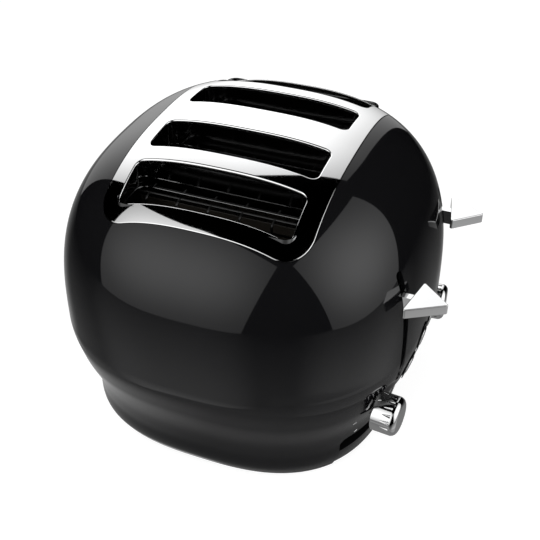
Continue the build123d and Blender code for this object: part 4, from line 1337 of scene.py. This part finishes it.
def near_floor():
    """A pale border on the floor round the body, seen only in its lower mirror faces."""
    bpy.ops.mesh.primitive_grid_add(x_subdivisions=192, y_subdivisions=12, size=2)
    border = named("near_floor")
    flat = vertex_array(border)
    turn = (flat[:, 0] + 1) * math.pi
    half_length, half_width, power = level_section(np.zeros(len(flat)))
    reach = (np.abs(np.cos(turn)) / half_length) ** power
    reach = (reach + (np.abs(np.sin(turn)) / half_width) ** power) ** (-1 / power)
    reach = reach + (flat[:, 1] + 1) * BORDER_WIDTH / 2
    x, y = BODY_X + reach * np.cos(turn), reach * np.sin(turn)
    remake(border, np.stack([x, y, np.full(len(x), 0.4 * MM)], axis=1))
    material, tree, surface = light_material("near_floor")
    place = Wire(tree, tree.nodes.new("ShaderNodeTexCoord").outputs["UV"])
    around, out, _ = place.split()
    band = out.between(-0.1, 0.3) * (1 - out.between(0.35, 1.0))
    turned = (around - 0.52) * (1 / 0.24)
    light = 0.17 + band * (0.03 + 0.34 * (1 - (turned * turned).between(0.0, 1.0)))
    return shine(border, material, surface, light)


print(near_floor().name)

# %% [markdown]
# ## Floor
# The floor is white to the camera, and keeps the shadow of the toaster.

# %% Floor
FLOOR_SIZE = 6.0
bpy.ops.mesh.primitive_plane_add(size=FLOOR_SIZE)
floor = named("floor")
in_edit(floor, lambda: bpy.ops.mesh.subdivide(number_cuts=3))
material, tree, surface = light_material("pale_floor")
rays = tree.nodes.new("ShaderNodeLightPath")
camera_ray = Wire(tree, rays.outputs["Is Camera Ray"])
matt = camera_ray.node("ShaderNodeBsdfDiffuse", None, {"Color": (0.25, 0.25, 0.25, 1)})
pale = camera_ray.node("ShaderNodeEmission", None, {"Strength": 0.86})
both = camera_ray.node("ShaderNodeAddShader", None, {0: matt, 1: pale})
grey = camera_ray.node("ShaderNodeBsdfDiffuse", None, {"Color": (0.8, 0.8, 0.8, 1)})
mixed = camera_ray.node("ShaderNodeMixShader", None, {0: camera_ray, 1: grey, 2: both})
tree.links.new(mixed.socket, surface)
dress(floor, material)
floor.visible_glossy = False

print(floor.name)

# %% [markdown]
# ## World
# The world is white to the camera and to mirrors, and gentler on matt surfaces.

# %% World
world = bpy.data.worlds.new("studio_world")
bpy.context.scene.world = world
world.use_nodes = True
tree = world.node_tree
rays = tree.nodes.new("ShaderNodeLightPath")
camera_ray = Wire(tree, rays.outputs["Is Camera Ray"])
glossy_ray = Wire(tree, rays.outputs["Is Glossy Ray"])
clear_ray = Wire(tree, rays.outputs["Is Transmission Ray"])
seen = glossy_ray.combine("MAXIMUM", glossy_ray, clear_ray)
seen = camera_ray.combine("MAXIMUM", camera_ray, seen)
strength = 0.5 + 0.5 * seen
tree.links.new(strength.socket, tree.nodes["Background"].inputs["Strength"])
tree.nodes["Background"].inputs["Color"].default_value = (1, 1, 1, 1)


print(world.name)

# %% [markdown]
# ## Lamps
# Two soft lamps light the matt surfaces. Mirrors don't see them.

# %% Lamps


def soft_lamp(name, azimuth, elevation, distance, size, power):
    """A square soft lamp in a direction, turned to the object and unseen in mirrors."""
    lamp = bpy.data.lights.new(name, "AREA")
    lamp.shape = "SQUARE"
    lamp.size = size
    lamp.energy = power
    obj = bpy.data.objects.new(name, lamp)
    bpy.context.collection.objects.link(obj)
    a, e = math.radians(azimuth), math.radians(elevation)
    away = Vector((math.sin(a) * math.cos(e), -math.cos(a) * math.cos(e), math.sin(e)))
    target = Vector((0, 0, 0.12))
    obj.location = target + away * distance
    obj.rotation_euler = away.to_track_quat("Z", "Y").to_euler()
    obj.visible_camera = False
    obj.visible_glossy = False
    return obj


soft_lamp("left_box", -28, 40, 1.6, 1.4, 16)
soft_lamp("right_box", 88, 35, 1.6, 1.2, 12)
print("lamps", len(bpy.data.lights))

# %% [markdown]
# ## Camera
# The camera looks down on the front left of the control end, as the portrait was taken.

# %% Camera
CAMERA_AZIMUTH = math.radians(21.609)
CAMERA_ELEVATION = math.radians(37.641)
CAMERA_ROLL = math.radians(0.152)
CAMERA_DISTANCE = 0.8038
camera_data = bpy.data.cameras.new("portrait_camera")
camera_data.lens = 62.73
camera_data.sensor_width = 36.0
camera = bpy.data.objects.new("portrait_camera", camera_data)
bpy.context.collection.objects.link(camera)
target = Vector((-4.41, 7.10, 99.5)) * MM
away = Vector(
    (
        math.sin(CAMERA_AZIMUTH) * math.cos(CAMERA_ELEVATION),
        -math.cos(CAMERA_AZIMUTH) * math.cos(CAMERA_ELEVATION),
        math.sin(CAMERA_ELEVATION),
    )
)
camera.location = target + away * CAMERA_DISTANCE
turn = away.to_track_quat("Z", "Y").to_matrix().to_4x4() @ Matrix.Rotation(-CAMERA_ROLL, 4, "Z")
camera.rotation_euler = turn.to_euler()
bpy.context.scene.camera = camera
bpy.context.scene.view_settings.view_transform = "Standard"
print("camera", [round(v, 3) for v in camera.location])
